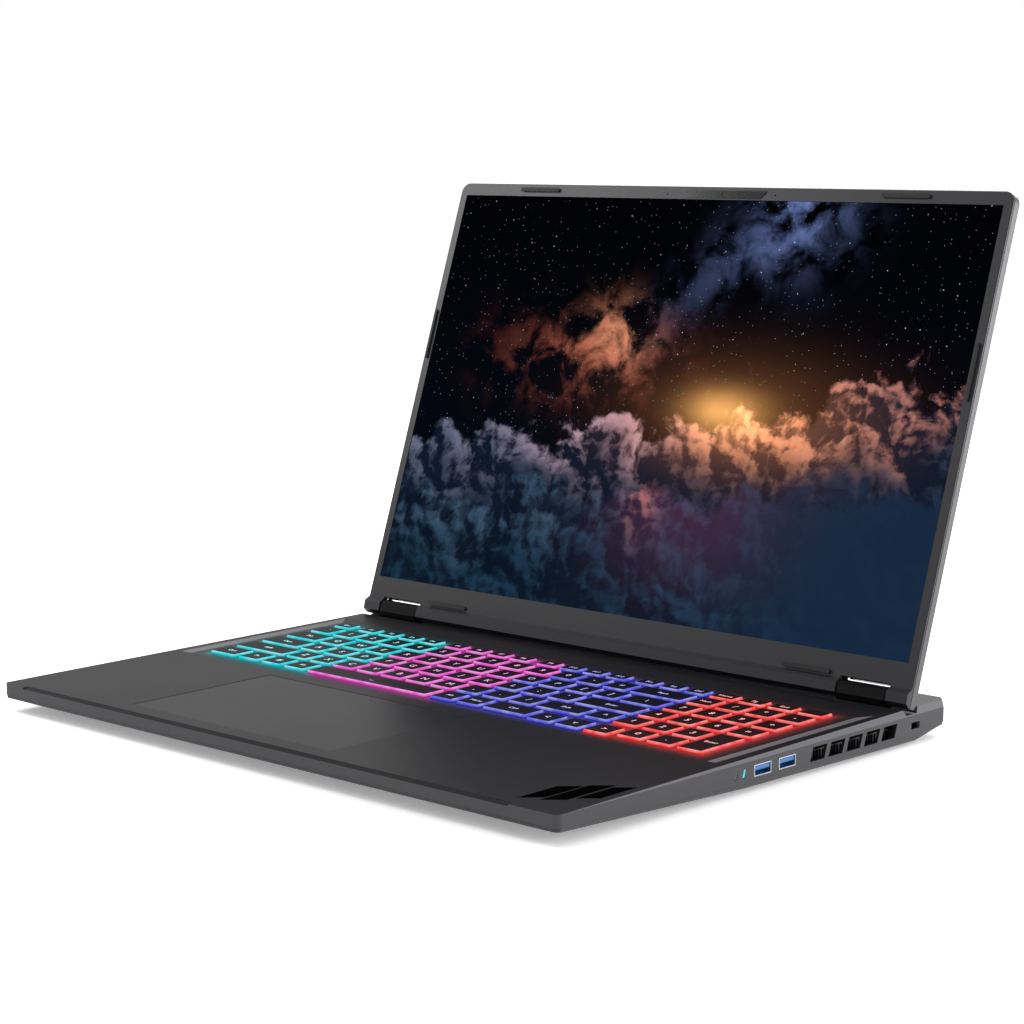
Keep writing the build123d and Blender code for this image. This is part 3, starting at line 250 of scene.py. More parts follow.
def make_grain_group():
    """Fine paint or moulded grain: a tone that varies a little, a roughness and a height."""
    tree, given, result = new_group(
        "Surface grain",
        (("Grain Scale", FLOAT, 900.0), ("Smudge Scale", FLOAT, 14.0), ("Roughness", FLOAT, 0.5),
         ("Roughness Spread", FLOAT, 0.06)),
        (("Tone", FLOAT), ("Roughness", FLOAT), ("Height", FLOAT)),
    )
    place = object_place(tree)
    grain = noise(tree, place, given.outputs["Grain Scale"], detail=2.0)
    smudge = noise(tree, place, given.outputs["Smudge Scale"], detail=4.0)
    spread = maths(tree, "MULTIPLY", maths(tree, "SUBTRACT", smudge, 0.5), given.outputs["Roughness Spread"])
    fleck = maths(tree, "MULTIPLY", maths(tree, "SUBTRACT", grain, 0.5), given.outputs["Roughness Spread"])
    rough = maths(tree, "ADD", maths(tree, "ADD", given.outputs["Roughness"], spread), fleck)
    tone = maths(
        tree, "ADD",
        maths(tree, "MULTIPLY", grain, GRAIN_SHARE),
        maths(tree, "MULTIPLY", smudge, 1.0 - GRAIN_SHARE),
    )
    tree.links.new(tone, result.inputs["Tone"])
    tree.links.new(rough, result.inputs["Roughness"])
    tree.links.new(grain, result.inputs["Height"])


def make_zone_group():
    """The colour of the light film by its place from left to right."""
    tree, given, result = new_group(
        "Key light colours",
        tuple((zone.capitalize(), COLOUR, (1.0, 1.0, 1.0, 1.0)) for zone in ZONES),
        (("Colour", COLOUR),),
    )
    x = node(tree, "ShaderNodeSeparateXYZ", {"Vector": object_place(tree)}).outputs["X"]
    colour = given.outputs["Left"]
    for before, after in zip(ZONES, ZONES[1:]):
        edge = (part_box(f"home_row_keys_{before}")[1].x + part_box(f"home_row_keys_{after}")[0].x) / 2
        amount = ramp(tree, x, edge - 4 * MM, edge + 4 * MM)
        colour = mixed(tree, amount, colour, given.outputs[after.capitalize()])
    tree.links.new(colour, result.inputs["Colour"])


def new_material(name, colour, roughness, metallic=0.0, grain=None, bump=0.0, tone=0.25, **sockets):
    """A Principled material with grain from the shared group."""
    material = bpy.data.materials.new(name)
    material.use_nodes = True
    tree = material.node_tree
    shader = tree.nodes["Principled BSDF"]
    shader.inputs["Metallic"].default_value = metallic
    for label, value in sockets.items():
        shader.inputs[label.replace("_", " ")].default_value = value
    scale, smudge, spread = grain or (900.0, 14.0, 0.06)
    surface = use_group(tree, "Surface grain", {
        "Grain Scale": scale, "Smudge Scale": smudge, "Roughness": roughness, "Roughness Spread": spread,
    })
    tree.links.new(surface.outputs["Roughness"], shader.inputs["Roughness"])
    darker = tuple(c * (1.0 - tone) for c in colour)
    lighter = tuple(min(1.0, c * (1.0 + tone)) for c in colour)
    tree.links.new(mixed(tree, surface.outputs["Tone"], darker, lighter), shader.inputs["Base Color"])
    if bump:
        lift = node(tree, "ShaderNodeBump", {
            "Height": surface.outputs["Height"], "Strength": 1.0, "Distance": bump,
        })
        tree.links.new(lift.outputs["Normal"], shader.inputs["Normal"])
    return material


def light_up(material, colour, strength):
    """Let a material glow; the colour is an output or a colour."""
    tree = material.node_tree
    shader = tree.nodes["Principled BSDF"]
    if isinstance(colour, bpy.types.NodeSocket):
        tree.links.new(colour, shader.inputs["Emission Color"])
    else:
        shader.inputs["Emission Color"].default_value = (*tuple(colour)[:3], 1.0)
    shader.inputs["Emission Strength"].default_value = strength


def paint(names, material):
    for name in names:
        piece = frame["nodes"][name]
        for place in piece.material_slots:
            place.material = material


def zone_sockets(look):
    return {zone.capitalize(): (*getattr(look, zone), 1.0) for zone in ZONES}


# ---- Mesh helpers --------------------------------------------------------------------------------------


def clear_selection():
    if bpy.context.object and bpy.context.object.mode != "OBJECT":
        bpy.ops.object.mode_set(mode="OBJECT")
    bpy.ops.object.select_all(action="DESELECT")


def settle(piece):
    """Put a finished piece's place into its mesh."""
    clear_selection()
    piece.select_set(True)
    bpy.context.view_layer.objects.active = piece
    bpy.ops.object.transform_apply(location=True, rotation=True, scale=True)


def join(pieces, name):
    clear_selection()
    for piece in pieces:
        piece.select_set(True)
    bpy.context.view_layer.objects.active = pieces[0]
    if len(pieces) > 1:
        bpy.ops.object.join()
    joined = bpy.context.object
    joined.name = name
    joined.data.name = name
    return joined


def dress(piece, material, body):
    """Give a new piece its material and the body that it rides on."""
    piece.data.materials.clear()
    piece.data.materials.append(material)
    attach(piece, body)


def lid_point(across, up, ahead):
    """A point of the lid: along the hinge axis, up the lid from it and towards the user."""
    return hinge + Vector((
        across,
        up * math.sin(LEAN) - ahead * math.cos(LEAN),
        up * math.cos(LEAN) + ahead * math.sin(LEAN),
    ))


def deck_point(x, y, above=0.0):
    """A point above the deck's plane, which runs through the front edge's top."""
    return Vector((x, y, deck_front_top + (y - deck_low.y) * math.tan(DECK_SLOPE) + above))


deck_front_top = deck_high.z - (deck_high.y - deck_low.y) * math.tan(DECK_SLOPE)


def rounded_bar(name, size, bevel, place):
    """A bar with rounded edges, by a cube that is scaled and bevelled, then turned into its place."""
    clear_selection()
    bpy.ops.mesh.primitive_cube_add(size=1.0)
    bar = bpy.context.object
    bar.name = name
    bpy.ops.object.mode_set(mode="EDIT")
    bpy.ops.mesh.select_all(action="SELECT")
    bpy.ops.transform.resize(value=size)
    bpy.ops.mesh.bevel(offset=bevel, segments=3, affect="EDGES")
    bpy.ops.object.mode_set(mode="OBJECT")
    bpy.ops.object.shade_smooth_by_angle(angle=math.radians(35))
    bar.matrix_world = place
    settle(bar)
    return bar


def cap_boxes(name):
    """Lowest and highest corner of each key cap in a group, from the left."""
    shape = bmesh.new()
    shape.from_mesh(frame["nodes"][name].data)
    bmesh.ops.remove_doubles(shape, verts=shape.verts, dist=0.001 * MM)
    waiting = set(shape.verts)
    boxes = []
    while waiting:
        edge_of_island = [waiting.pop()]
        island = []
        while edge_of_island:
            corner = edge_of_island.pop()
            island.append(corner.co.copy())
            for edge in corner.link_edges:
                other = edge.other_vert(corner)
                if other in waiting:
                    waiting.remove(other)
                    edge_of_island.append(other)
        low = Vector(tuple(min(point[axis] for point in island) for axis in range(3)))
        high = Vector(tuple(max(point[axis] for point in island) for axis in range(3)))
        boxes.append((low, high))
    shape.free()
    return sorted(boxes, key=lambda box: box[0].x)


# ---- Finishes ------------------------------------------------------------------------------------------


class LAPTOP_OT_shared_effects(bpy.types.Operator):
    """Build the shader groups that several finishes use"""

    bl_idname = "laptop.shared_effects"
    bl_label = "Shared effects"

    def execute(self, context):
        make_grain_group()
        make_zone_group()
        return {"FINISHED"}


def deck_material(look, light):
    """Dark painted metal with painted light: a painted glow of the keys' light close to them, painted
    highlights on the chamfers and the upright faces, and painted shade in the front groove.
    """
    material = new_material(
        "Deck paint", look.deck_colour, look.roughness, grain=(1500.0, 10.0, 0.07),
        bump=0.01 * MM, tone=0.12, Specular_IOR_Level=0.06,
    )
    tree = material.node_tree
    place = node(tree, "ShaderNodeSeparateXYZ", {"Vector": object_place(tree)})
    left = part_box("home_row_keys_left")[0]
    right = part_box("home_row_keys_numpad")[1]
    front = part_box("space_row_keys_left")[0]
    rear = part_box("function_row_keys_left")[1]
    outside = []
    for axis, low, high in (("X", left.x, right.x), ("Y", front.y, rear.y)):
        from_middle = maths(tree, "ABSOLUTE", maths(tree, "SUBTRACT", place.outputs[axis], (low + high) / 2))
        outside.append(maths(tree, "MAXIMUM", maths(tree, "SUBTRACT", from_middle, (high - low) / 2), 0.0))
    away = maths(tree, "SQRT", maths(tree, "ADD", *[maths(tree, "MULTIPLY", d, d) for d in outside]))
    # Painted glow: within a few millimetres of the keys the deck gives off the zone colours of the key light
    # itself.
    glow = maths(tree, "EXPONENT", maths(tree, "MULTIPLY", away, -1.0 / (2.4 * MM)))
    deck_only = ramp(tree, place.outputs["Z"], deck_front_top - 1.5 * MM, deck_front_top)
    zones = use_group(tree, "Key light colours", zone_sockets(light))
    colour = mixed(tree, maths(tree, "MULTIPLY", glow, deck_only), (0.0, 0.0, 0.0), zones.outputs["Colour"])
    light_up(material, colour, 0.28)
    shader = tree.nodes["Principled BSDF"]
    normal = node(tree, "ShaderNodeTexCoord").outputs["Normal"]
    facing = node(tree, "ShaderNodeSeparateXYZ", {"Vector": normal})
    # Painted light: faces that slope to the side get the lighter chamfer colour as a painted highlight, and
    # upright faces get the lighter side colour.
    chamfer_highlight_mask = ramp(tree, maths(tree, "ABSOLUTE", facing.outputs["X"]), 0.05, 0.07)
    side_light_mask = ramp(tree, facing.outputs["Z"], 0.35, 0.20)
    # Painted shade: the front groove, whose faces point forward and up, is given a near-black colour.
    groove_shade_mask = maths(
        tree, "MULTIPLY",
        ramp(tree, facing.outputs["Y"], -0.15, -0.20),
        ramp(tree, facing.outputs["Z"], 0.6, 0.7),
    )
    coat_and_painted_light = shader.inputs["Base Color"].links[0].from_socket
    coat_and_painted_light = mixed(tree, chamfer_highlight_mask, coat_and_painted_light, look.chamfer_colour_painted_highlight)
    coat_and_painted_light = mixed(tree, side_light_mask, coat_and_painted_light, look.side_colour_painted_light)
    coat_and_painted_light = mixed(tree, groove_shade_mask, coat_and_painted_light, (0.0015, 0.0015, 0.0017))
    tree.links.new(coat_and_painted_light, shader.inputs["Base Color"])
    return material


class LAPTOP_OT_case_finishes(bpy.types.Operator):
    """Paint the case, the lid, the hinges and everything that is plain plastic, metal or rubber"""

    bl_idname = "laptop.case_finishes"
    bl_label = "Case finishes"

    def execute(self, context):
        look = context.scene.case_look
        paint(["upper_case"], deck_material(look, context.scene.key_light))
        paint(["lid_back_cover"], new_material(
            "Lid paint", look.lid_colour, 0.42, metallic=0.4, grain=(1500.0, 9.0, 0.06), tone=0.10,
        ))
        paint(["lid_bezel"], new_material(
            "Bezel plastic", look.bezel_colour, 0.46, grain=(1800.0, 20.0, 0.05), bump=0.008 * MM, tone=0.12,
            Specular_IOR_Level=0.35,
        ))
        paint(["hinge_covers"], new_material(
            "Hinge cover plastic", (0.0012, 0.0011, 0.0014), 0.40, grain=(1800.0, 30.0, 0.06), tone=0.12,
            Specular_IOR_Level=0.10,
        ))
        paint(["bottom_cover"], new_material(
            "Base plastic", (0.014, 0.014, 0.016), 0.55, grain=(700.0, 12.0, 0.10), bump=0.02 * MM, tone=0.2,
        ))
        paint(["rubber_feet", "lid_rubber_stops"], new_material(
            "Rubber", (0.004, 0.004, 0.0045), 0.75, grain=(500.0, 40.0, 0.15), bump=0.02 * MM,
        ))
        paint(["case_screws"], new_material(
            "Dark screws", (0.08, 0.08, 0.085), 0.32, metallic=1.0, grain=(2600.0, 60.0, 0.2),
        ))
        paint(["hinge_brackets", "hinge_arms"], new_material(
            "Hinge steel", (0.34, 0.34, 0.35), 0.30, metallic=1.0, grain=(2200.0, 60.0, 0.2),
        ))
        paint(["keyboard_plate", "touchpad_bracket"], new_material(
            "Pressed sheet", (0.30, 0.30, 0.31), 0.42, metallic=1.0, grain=(1200.0, 25.0, 0.15),
        ))
        paint(["touchpad"], new_material(
            "Touchpad glass", (0.0105, 0.0101, 0.0115), 0.35, grain=(2400.0, 12.0, 0.05),
            tone=0.08, Specular_IOR_Level=0.065,
        ))
        paint(["webcam_window", "webcam_module"], new_material(
            "Gloss black", (0.0015, 0.0015, 0.002), 0.16, grain=(300.0, 60.0, 0.03), Specular_IOR_Level=0.25,
        ))
        paint(["lcd_panel"], new_material("Panel frame", (0.02, 0.02, 0.02), 0.6))
        return {"FINISHED"}


class LAPTOP_OT_inner_finishes(bpy.types.Operator):
    """Paint the pieces inside the case and its sockets"""

    bl_idname = "laptop.inner_finishes"
    bl_label = "Inner finishes"

    def execute(self, context):
        paint(["battery_pack"], new_material(
            "Battery wrap", (0.02, 0.02, 0.022), 0.35, grain=(200.0, 20.0, 0.15),
        ))
        paint(["motherboard"], new_material(
            "Circuit board", (0.006, 0.045, 0.022), 0.35, grain=(600.0, 90.0, 0.2),
        ))
        paint(["memory_modules", "ssd_modules", "wireless_card"], new_material(
            "Module board", (0.008, 0.06, 0.03), 0.38, grain=(600.0, 110.0, 0.2),
        ))
        paint(["heat_pipes"], new_material(
            "Copper", (0.76, 0.34, 0.20), 0.28, metallic=1.0, grain=(900.0, 40.0, 0.2),
        ))
        paint(["heatsink_fins"], new_material(
            "Bare fins", (0.035, 0.035, 0.037), 0.45, metallic=1.0, grain=(900.0, 70.0, 0.2),
        ))
        paint(["fan_left_housing", "fan_right_housing", "speakers"], new_material(
            "Moulded housing", (0.018, 0.018, 0.02), 0.5, grain=(800.0, 40.0, 0.12), bump=0.02 * MM,
        ))
        paint(["fan_left_rotor", "fan_right_rotor"], new_material(
            "Rotor plastic", (0.045, 0.045, 0.05), 0.4, grain=(800.0, 40.0, 0.1),
        ))
        paint(["port_shells", "power_inlet"], new_material(
            "Plated shell", (0.42, 0.42, 0.44), 0.25, metallic=1.0, grain=(1500.0, 200.0, 0.12),
        ))
        tongue = new_material("Tongue plastic", (0.008, 0.008, 0.009), 0.38, grain=(1500.0, 200.0, 0.1))
        # Painted glow: the tongues in front of about y = 0.085 m give off a blue light of their own.
        place = node(tongue.node_tree, "ShaderNodeSeparateXYZ", {"Vector": object_place(tongue.node_tree)})
        side = ramp(tongue.node_tree, place.outputs["Y"], 0.09, 0.08)
        light_up(tongue, mixed(tongue.node_tree, side, (0.0, 0.0, 0.0), (0.0, 0.17, 0.60)), 0.75)
        paint(["port_tongues"], tongue)
        paint(["audio_jack"], new_material("Socket black", (0.01, 0.01, 0.01), 0.45))
        lens = new_material("Status lens", (0.02, 0.03, 0.03), 0.25)
        low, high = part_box("status_lights")
        place = node(lens.node_tree, "ShaderNodeSeparateXYZ", {"Vector": object_place(lens.node_tree)})
        rear = ramp(lens.node_tree, place.outputs["Y"], (low.y + high.y) / 2, (low.y + high.y) / 2 + 0.1 * MM)
        light_up(lens, mixed(lens.node_tree, rear, (0.01, 0.015, 0.016), (0.03, 0.66, 0.75)), 1.0)
        paint(["status_lights"], lens)
        film = new_material("Light film", (0.5, 0.5, 0.52), 0.6)
        zones = use_group(film.node_tree, "Key light colours", zone_sockets(context.scene.key_light))
        light_up(film, zones.outputs["Colour"], context.scene.key_light.strength)
        paint(["keyboard_backlight"], film)
        return {"FINISHED"}


class LAPTOP_OT_key_finishes(bpy.types.Operator):
    """Give the key caps their black tops and sides that glow with painted light, one colour for each zone"""

    bl_idname = "laptop.key_finishes"
    bl_label = "Key caps"

    def execute(self, context):
        light = context.scene.key_light
        for zone in ZONES:
            colour = tuple(getattr(light, zone))
            material = new_material(
                f"Key caps {zone}", (0.004, 0.004, 0.005), 0.5, grain=(1300.0, 60.0, 0.08), bump=0.01 * MM,
                Specular_IOR_Level=0.05,
            )
            tree = material.node_tree
            facing = node(tree, "ShaderNodeSeparateXYZ", {
                "Vector": node(tree, "ShaderNodeTexCoord").outputs["Normal"],
            }).outputs["Z"]
            # Painted glow: the cap sides give off their zone's key light themselves, deeper and darker near
            # the deck and paler higher up.
            side = ramp(tree, facing, 0.97, 0.80)
            place = node(tree, "ShaderNodeSeparateXYZ", {"Vector": object_place(tree)})
            behind = maths(tree, "SUBTRACT", place.outputs["Y"], deck_low.y)
            above = maths(tree, "SUBTRACT", place.outputs["Z"], deck_front_top)
            above = maths(tree, "SUBTRACT", above, maths(tree, "MULTIPLY", behind, math.tan(DECK_SLOPE)))
            height = ramp(tree, above, -0.4 * MM, 1.25 * MM)
            uneven = ramp(tree, noise(tree, object_place(tree), 160.0, detail=1.0), 0.3, 0.7)
            pale = tuple(c + (1.0 - c) * 0.22 for c in colour)
            deep = tuple(c * c * 0.55 for c in colour)
            upper = mixed(tree, uneven, colour, pale)
            lit = mixed(tree, height, deep, upper)
            light_up(material, mixed(tree, side, tuple(c * 0.010 for c in colour), lit), light.strength)
            names = [f"{row}_row_keys_{zone}" for row in ROWS]
            if zone == "numpad":
                names.append("power_button")
            paint(names, material)
        return {"FINISHED"}


class LAPTOP_OT_key_legends(bpy.types.Operator):
    """Lay the plain letters and digits on the key caps"""

    bl_idname = "laptop.key_legends"
    bl_label = "Key legends"

    def execute(self, context):
        light = context.scene.key_light
        size = context.scene.detail_sizes.letter
        ink_and_painted_glow = {}
        for zone in ZONES:
            colour = tuple(getattr(light, zone))
            # Each legend has a pale tint of its zone colour and glows with a lighter one; the glow is painted
            # light, given off by the legend itself.
            ink_and_painted_glow[zone] = new_material(f"Legend {zone}", tuple(0.3 + 0.3 * c for c in colour), 0.5)
            light_up(ink_and_painted_glow[zone], tuple(c + (1.0 - c) * 0.35 for c in colour), 0.85)
        for row in ROWS:
            for zone in ZONES:
                name = f"{row}_row_keys_{zone}"
                boxes = cap_boxes(name)
                words = LEGENDS[f"{row}_{zone}"].split()
                if len(words) != len(boxes):
                    raise RuntimeError(f"{name} has {len(boxes)} caps and {len(words)} legends")
                made = [self.letter(word, low, high, size) for word, (low, high) in zip(words, boxes)]
                legend = join(made, f"{row}_row_legends_{zone}")
                settle(legend)
                dress(legend, ink_and_painted_glow[zone], name)
        return {"FINISHED"}

    def letter(self, word, low, high, size):
        """One legend as a thin raised mesh on the middle of its cap."""
        clear_selection()
        bpy.ops.object.text_add()
        text = bpy.context.object
        text.data.body = word
        text.data.size = size * (1.0 if len(word) == 1 else 0.62)
        text.data.align_x = "CENTER"
        text.data.align_y = "CENTER"
        text.data.resolution_u = 2
        text.data.extrude = GUARD
        bpy.ops.object.convert(target="MESH")
        middle = (low + high) / 2
        top = high.z - (high.y - low.y) / 2 * math.tan(DECK_SLOPE)
        place = Matrix.Translation((middle.x, middle.y, top + 2 * GUARD))
        bpy.context.object.matrix_world = place @ Matrix.Rotation(DECK_SLOPE, 4, "X")
        return bpy.context.object


# ---- Display -------------------------------------------------------------------------------------------


def make_sky_group():
    """A night sky over lit clouds. Its place runs 0 to 1 up the picture and is 0 in its middle across."""
    tree, given, result = new_group(
        "Night sky", (("Place", "NodeSocketVector", (0.0, 0.0, 0.0)),), (("Colour", COLOUR),),
    )
    place = given.outputs["Place"]
    parts = node(tree, "ShaderNodeSeparateXYZ", {"Vector": place})
    x, y = parts.outputs["X"], parts.outputs["Y"]

    def spot(centre_x, centre_y, reach_x, reach_y, wobble=0.0):
        """A soft round patch."""
        dx = maths(tree, "DIVIDE", maths(tree, "SUBTRACT", x, centre_x), reach_x)
        dy = maths(tree, "DIVIDE", maths(tree, "SUBTRACT", y, centre_y), reach_y)
        squared = maths(tree, "ADD", maths(tree, "MULTIPLY", dx, dx), maths(tree, "MULTIPLY", dy, dy))
        if wobble:
            squared = maths(tree, "ADD", squared, maths(tree, "MULTIPLY", rough_air, wobble))
        return maths(tree, "EXPONENT", maths(tree, "MULTIPLY", squared, -1.0))

    def plus(colour, amount, extra):
        return mixed(tree, amount, colour, extra, blend="ADD")

    def puffs(scale, shift):
        """Rounded billows at some shift of the place."""
        moved = node(tree, "ShaderNodeVectorMath", {0: warped, 1: (*shift, 0.0)}, operation="ADD").outputs[0]
        cells = node(
            tree, "ShaderNodeTexVoronoi",
            {"Vector": moved, "Scale": scale, "Detail": 4.0, "Roughness": 0.50, "Lacunarity": 2.3},
            voronoi_dimensions="2D", feature="F1", normalize=True,
        )
        return maths(tree, "SUBTRACT", 1.0, cells.outputs["Distance"])

    def cloud_bank(scale, level, climb, height, shift):
        """How much a bank of cloud covers, how near its crest a point is, and its light from the right."""
        puff = puffs(scale, shift)
        lit_side = puffs(scale, (shift[0] + 0.014, shift[1] + 0.016))
        relief = maths(tree, "SUBTRACT", puff, lit_side)
        crest = maths(tree, "ADD", level, maths(tree, "MULTIPLY", x, climb))
        swell = maths(tree, "MULTIPLY", maths(tree, "SUBTRACT", puff, 0.62), height)
        crest = maths(tree, "ADD", crest, swell)
        crest = maths(tree, "ADD", crest, maths(tree, "MULTIPLY", rough_air, height * 0.5))
        below = maths(tree, "SUBTRACT", crest, y)
        return ramp(tree, below, -0.01, 0.05), ramp(tree, below, 0.22, 0.0), ramp(tree, relief, -0.05, 0.11)

    rough_air = maths(tree, "SUBTRACT", noise(tree, place, 6.0, detail=8.0, roughness=0.6), 0.5)
    fine_air = noise(tree, place, 10.0, detail=10.0, roughness=0.60, distortion=0.4)
    bend = node(tree, "ShaderNodeTexNoise", {"Vector": place, "Scale": 5.0, "Detail": 5.0, "Roughness": 0.6})
    warped = node(
        tree, "ShaderNodeVectorMath", {0: bend.outputs["Color"], 1: (0.14, 0.14, 0.0), 2: place},
        operation="MULTIPLY_ADD",
    ).outputs[0]

    # Stars, a fine and a coarse scatter.
    sky = mixed(tree, ramp(tree, y, 0.3, 1.0), (0.0006, 0.0016, 0.0045), (0.0001, 0.0002, 0.0007))
    for scale, size, share, colour in (
        (70.0, 0.11, 0.74, (0.30, 0.36, 0.5)), (26.0, 0.05, 0.80, (0.9, 0.85, 0.8)),
    ):
        cells = node(
            tree, "ShaderNodeTexVoronoi", {"Vector": place, "Scale": scale}, voronoi_dimensions="2D",
        )
        chance = node(tree, "ShaderNodeSeparateColor", {"Color": cells.outputs["Color"]}).outputs[0]
        dot = ramp(tree, cells.outputs["Distance"], size, 0.0)
        star = maths(tree, "MULTIPLY", dot, ramp(tree, chance, share, 1.0))
        sky = plus(sky, star, colour)

    # A dusty band from the upper right towards the left.
    off_band = maths(
        tree, "ADD",
        maths(tree, "MULTIPLY", maths(tree, "ADD", x, 0.05), -0.58),
        maths(tree, "MULTIPLY", maths(tree, "SUBTRACT", y, 0.75), 0.81),
    )
    off_band = maths(tree, "ABSOLUTE", maths(tree, "ADD", off_band, maths(tree, "MULTIPLY", rough_air, 0.12)))
    dust = ramp(tree, fine_air, 0.38, 0.66)
    band = maths(tree, "MULTIPLY", ramp(tree, off_band, 0.13, 0.0), dust)
    sky = plus(sky, maths(tree, "MULTIPLY", band, ramp(tree, x, -0.25, 0.30)), (0.050, 0.070, 0.160))
    sky = plus(sky, maths(tree, "MULTIPLY", spot(0.27, 0.98, 0.13, 0.12, 1.4), dust), (0.10, 0.14, 0.32))
    ember = maths(tree, "MULTIPLY", spot(-0.27, 0.60, 0.22, 0.09, 1.4), ramp(tree, fine_air, 0.45, 0.66))
    sky = plus(sky, ember, (0.30, 0.07, 0.045))
    heart = maths(tree, "MULTIPLY", spot(-0.20, 0.66, 0.09, 0.07, 1.4), ramp(tree, fine_air, 0.42, 0.62))
    sky = plus(sky, heart, (0.62, 0.24, 0.13))

    # Clouds: a far bank lit by the glow behind it, and a near bank in the dark.
    cover, rim, relief = cloud_bank(6.0, 0.46, 0.15, 0.42, (3.1, 0.4))
    far = mixed(tree, relief, (0.004, 0.009, 0.022), (0.020, 0.034, 0.062))
    edge = maths(tree, "MULTIPLY", rim, relief)
    far = plus(far, maths(tree, "MULTIPLY", edge, ramp(tree, x, 0.10, -0.30)), (0.13, 0.13, 0.19))
    far = plus(far, maths(tree, "MULTIPLY", edge, spot(-0.12, 0.42, 0.26, 0.22)), (0.44, 0.21, 0.20))
    far = plus(far, maths(tree, "MULTIPLY", edge, ramp(tree, x, 0.05, 0.35)), (0.46, 0.16, 0.10))
    warm = maths(tree, "MULTIPLY", spot(0.24, 0.49, 0.24, 0.10, 0.8), maths(tree, "ADD", relief, 0.15))
    far = plus(far, warm, (0.95, 0.33, 0.09))
    picture = mixed(tree, cover, sky, far)
    picture = plus(picture, spot(0.17, 0.50, 0.10, 0.045, 0.9), (0.85, 0.42, 0.12))
    cover, rim, relief = cloud_bank(4.4, 0.27, 0.10, 0.40, (7.3, 2.2))
    near = mixed(tree, relief, (0.0025, 0.007, 0.016), (0.012, 0.040, 0.075))
    near = mixed(tree, ramp(tree, x, 0.05, 0.6), near, (0.008, 0.022, 0.050))
    near = plus(near, maths(tree, "MULTIPLY", maths(tree, "MULTIPLY", rim, relief), ramp(tree, x, 0.2, -0.5)),
                (0.045, 0.070, 0.105))
    near = plus(near, maths(tree, "MULTIPLY", spot(0.12, 0.26, 0.24, 0.16), 0.8), (0.060, 0.018, 0.045))
    near = plus(near, maths(tree, "MULTIPLY", spot(-0.01, 0.30, 0.05, 0.10, 1.2), relief), (0.40, 0.10, 0.04))
    picture = mixed(tree, maths(tree, "MULTIPLY", cover, 0.92), picture, near)
    picture = plus(picture, maths(tree, "MULTIPLY", spot(0.22, 0.50, 0.30, 0.12), 0.10), (1.0, 0.36, 0.12))
    tree.links.new(picture, result.inputs["Colour"])


class LAPTOP_OT_display_picture(bpy.types.Operator):
    """Light the display with a made-up night sky"""

    bl_idname = "laptop.display_picture"
    bl_label = "Display picture"

    def execute(self, context):
        make_sky_group()
        material = new_material(
            "Display face", (0.0006, 0.0006, 0.0008), 0.6, grain=(2600.0, 15.0, 0.03), Specular_IOR_Level=0.0,
        )
        tree = material.node_tree
        place = node(tree, "ShaderNodeSeparateXYZ", {"Vector": object_place(tree)})
        across = maths(tree, "DIVIDE", place.outputs["X"], screen_tall)
        rise = maths(tree, "SUBTRACT", place.outputs["Z"], screen_low.z)
        up = maths(tree, "DIVIDE", rise, screen_high.z - screen_low.z)
        picture = use_group(tree, "Night sky", {
            "Place": node(tree, "ShaderNodeCombineXYZ", {"X": across, "Y": up, "Z": 0.0}).outputs[0],
        })
        light_up(material, picture.outputs["Colour"], context.scene.display_look.brightness)
        paint(["screen_glass"], material)
        return {"FINISHED"}


# ---- Details -------------------------------------------------------------------------------------------


class LAPTOP_OT_hinge_trim(bpy.types.Operator):
    """Add the bright bar that shows above each hinge cover"""

    bl_idname = "laptop.hinge_trim"
    bl_label = "Hinge trim"

    def execute(self, context):
        chrome = new_material(
            "Bright trim", (0.80, 0.80, 0.82), 0.16, metallic=1.0, grain=(900.0, 90.0, 0.08),
        )
        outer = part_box("hinge_covers")[1].x
        middle = outer - 0.5 * (outer - self.inner())
        tall = context.scene.detail_sizes.trim
        bars = []
        for side in (-1, 1):
            place = Matrix.Translation(lid_point(side * middle, TRIM_TOP - tall / 2, -TRIM_BEHIND))
            turn = Matrix.Rotation(-LEAN, 4, "X")
            bars.append(rounded_bar("trim", (TRIM_WIDTH, TRIM_DEPTH, tall), tall * 0.25, place @ turn))
        trim = join(bars, "hinge_trim_bars")
        dress(trim, chrome, "lid")
        return {"FINISHED"}

    def inner(self):
        """The inner end of the right hinge cover."""
        return min(v.co.x for v in frame["nodes"]["hinge_covers"].data.vertices if v.co.x > 0)


class LAPTOP_OT_socket_contacts(bpy.types.Operator):
    """Add the gilt contacts under the tongue of each large socket"""

    bl_idname = "laptop.socket_contacts"
    bl_label = "Socket contacts"

    def execute(self, context):
        gilt = new_material("Gilt contacts", (0.85, 0.58, 0.22), 0.22, metallic=1.0)
        bars = []
        for low, high in cap_boxes("port_tongues"):
            wide = high.y - low.y
            if wide < 10 * MM:
                continue
            middle = (low + high) / 2
            for step in (-1.5, -0.5, 0.5, 1.5):
                place = Matrix.Translation((middle.x, middle.y + step * wide / 5, low.z - 0.1 * MM))
                bars.append(rounded_bar("contact", (8 * MM, 1.1 * MM, 0.25 * MM), 0.05 * MM, place))
        dress(join(bars, "socket_contacts"), gilt, "base")
        return {"FINISHED"}


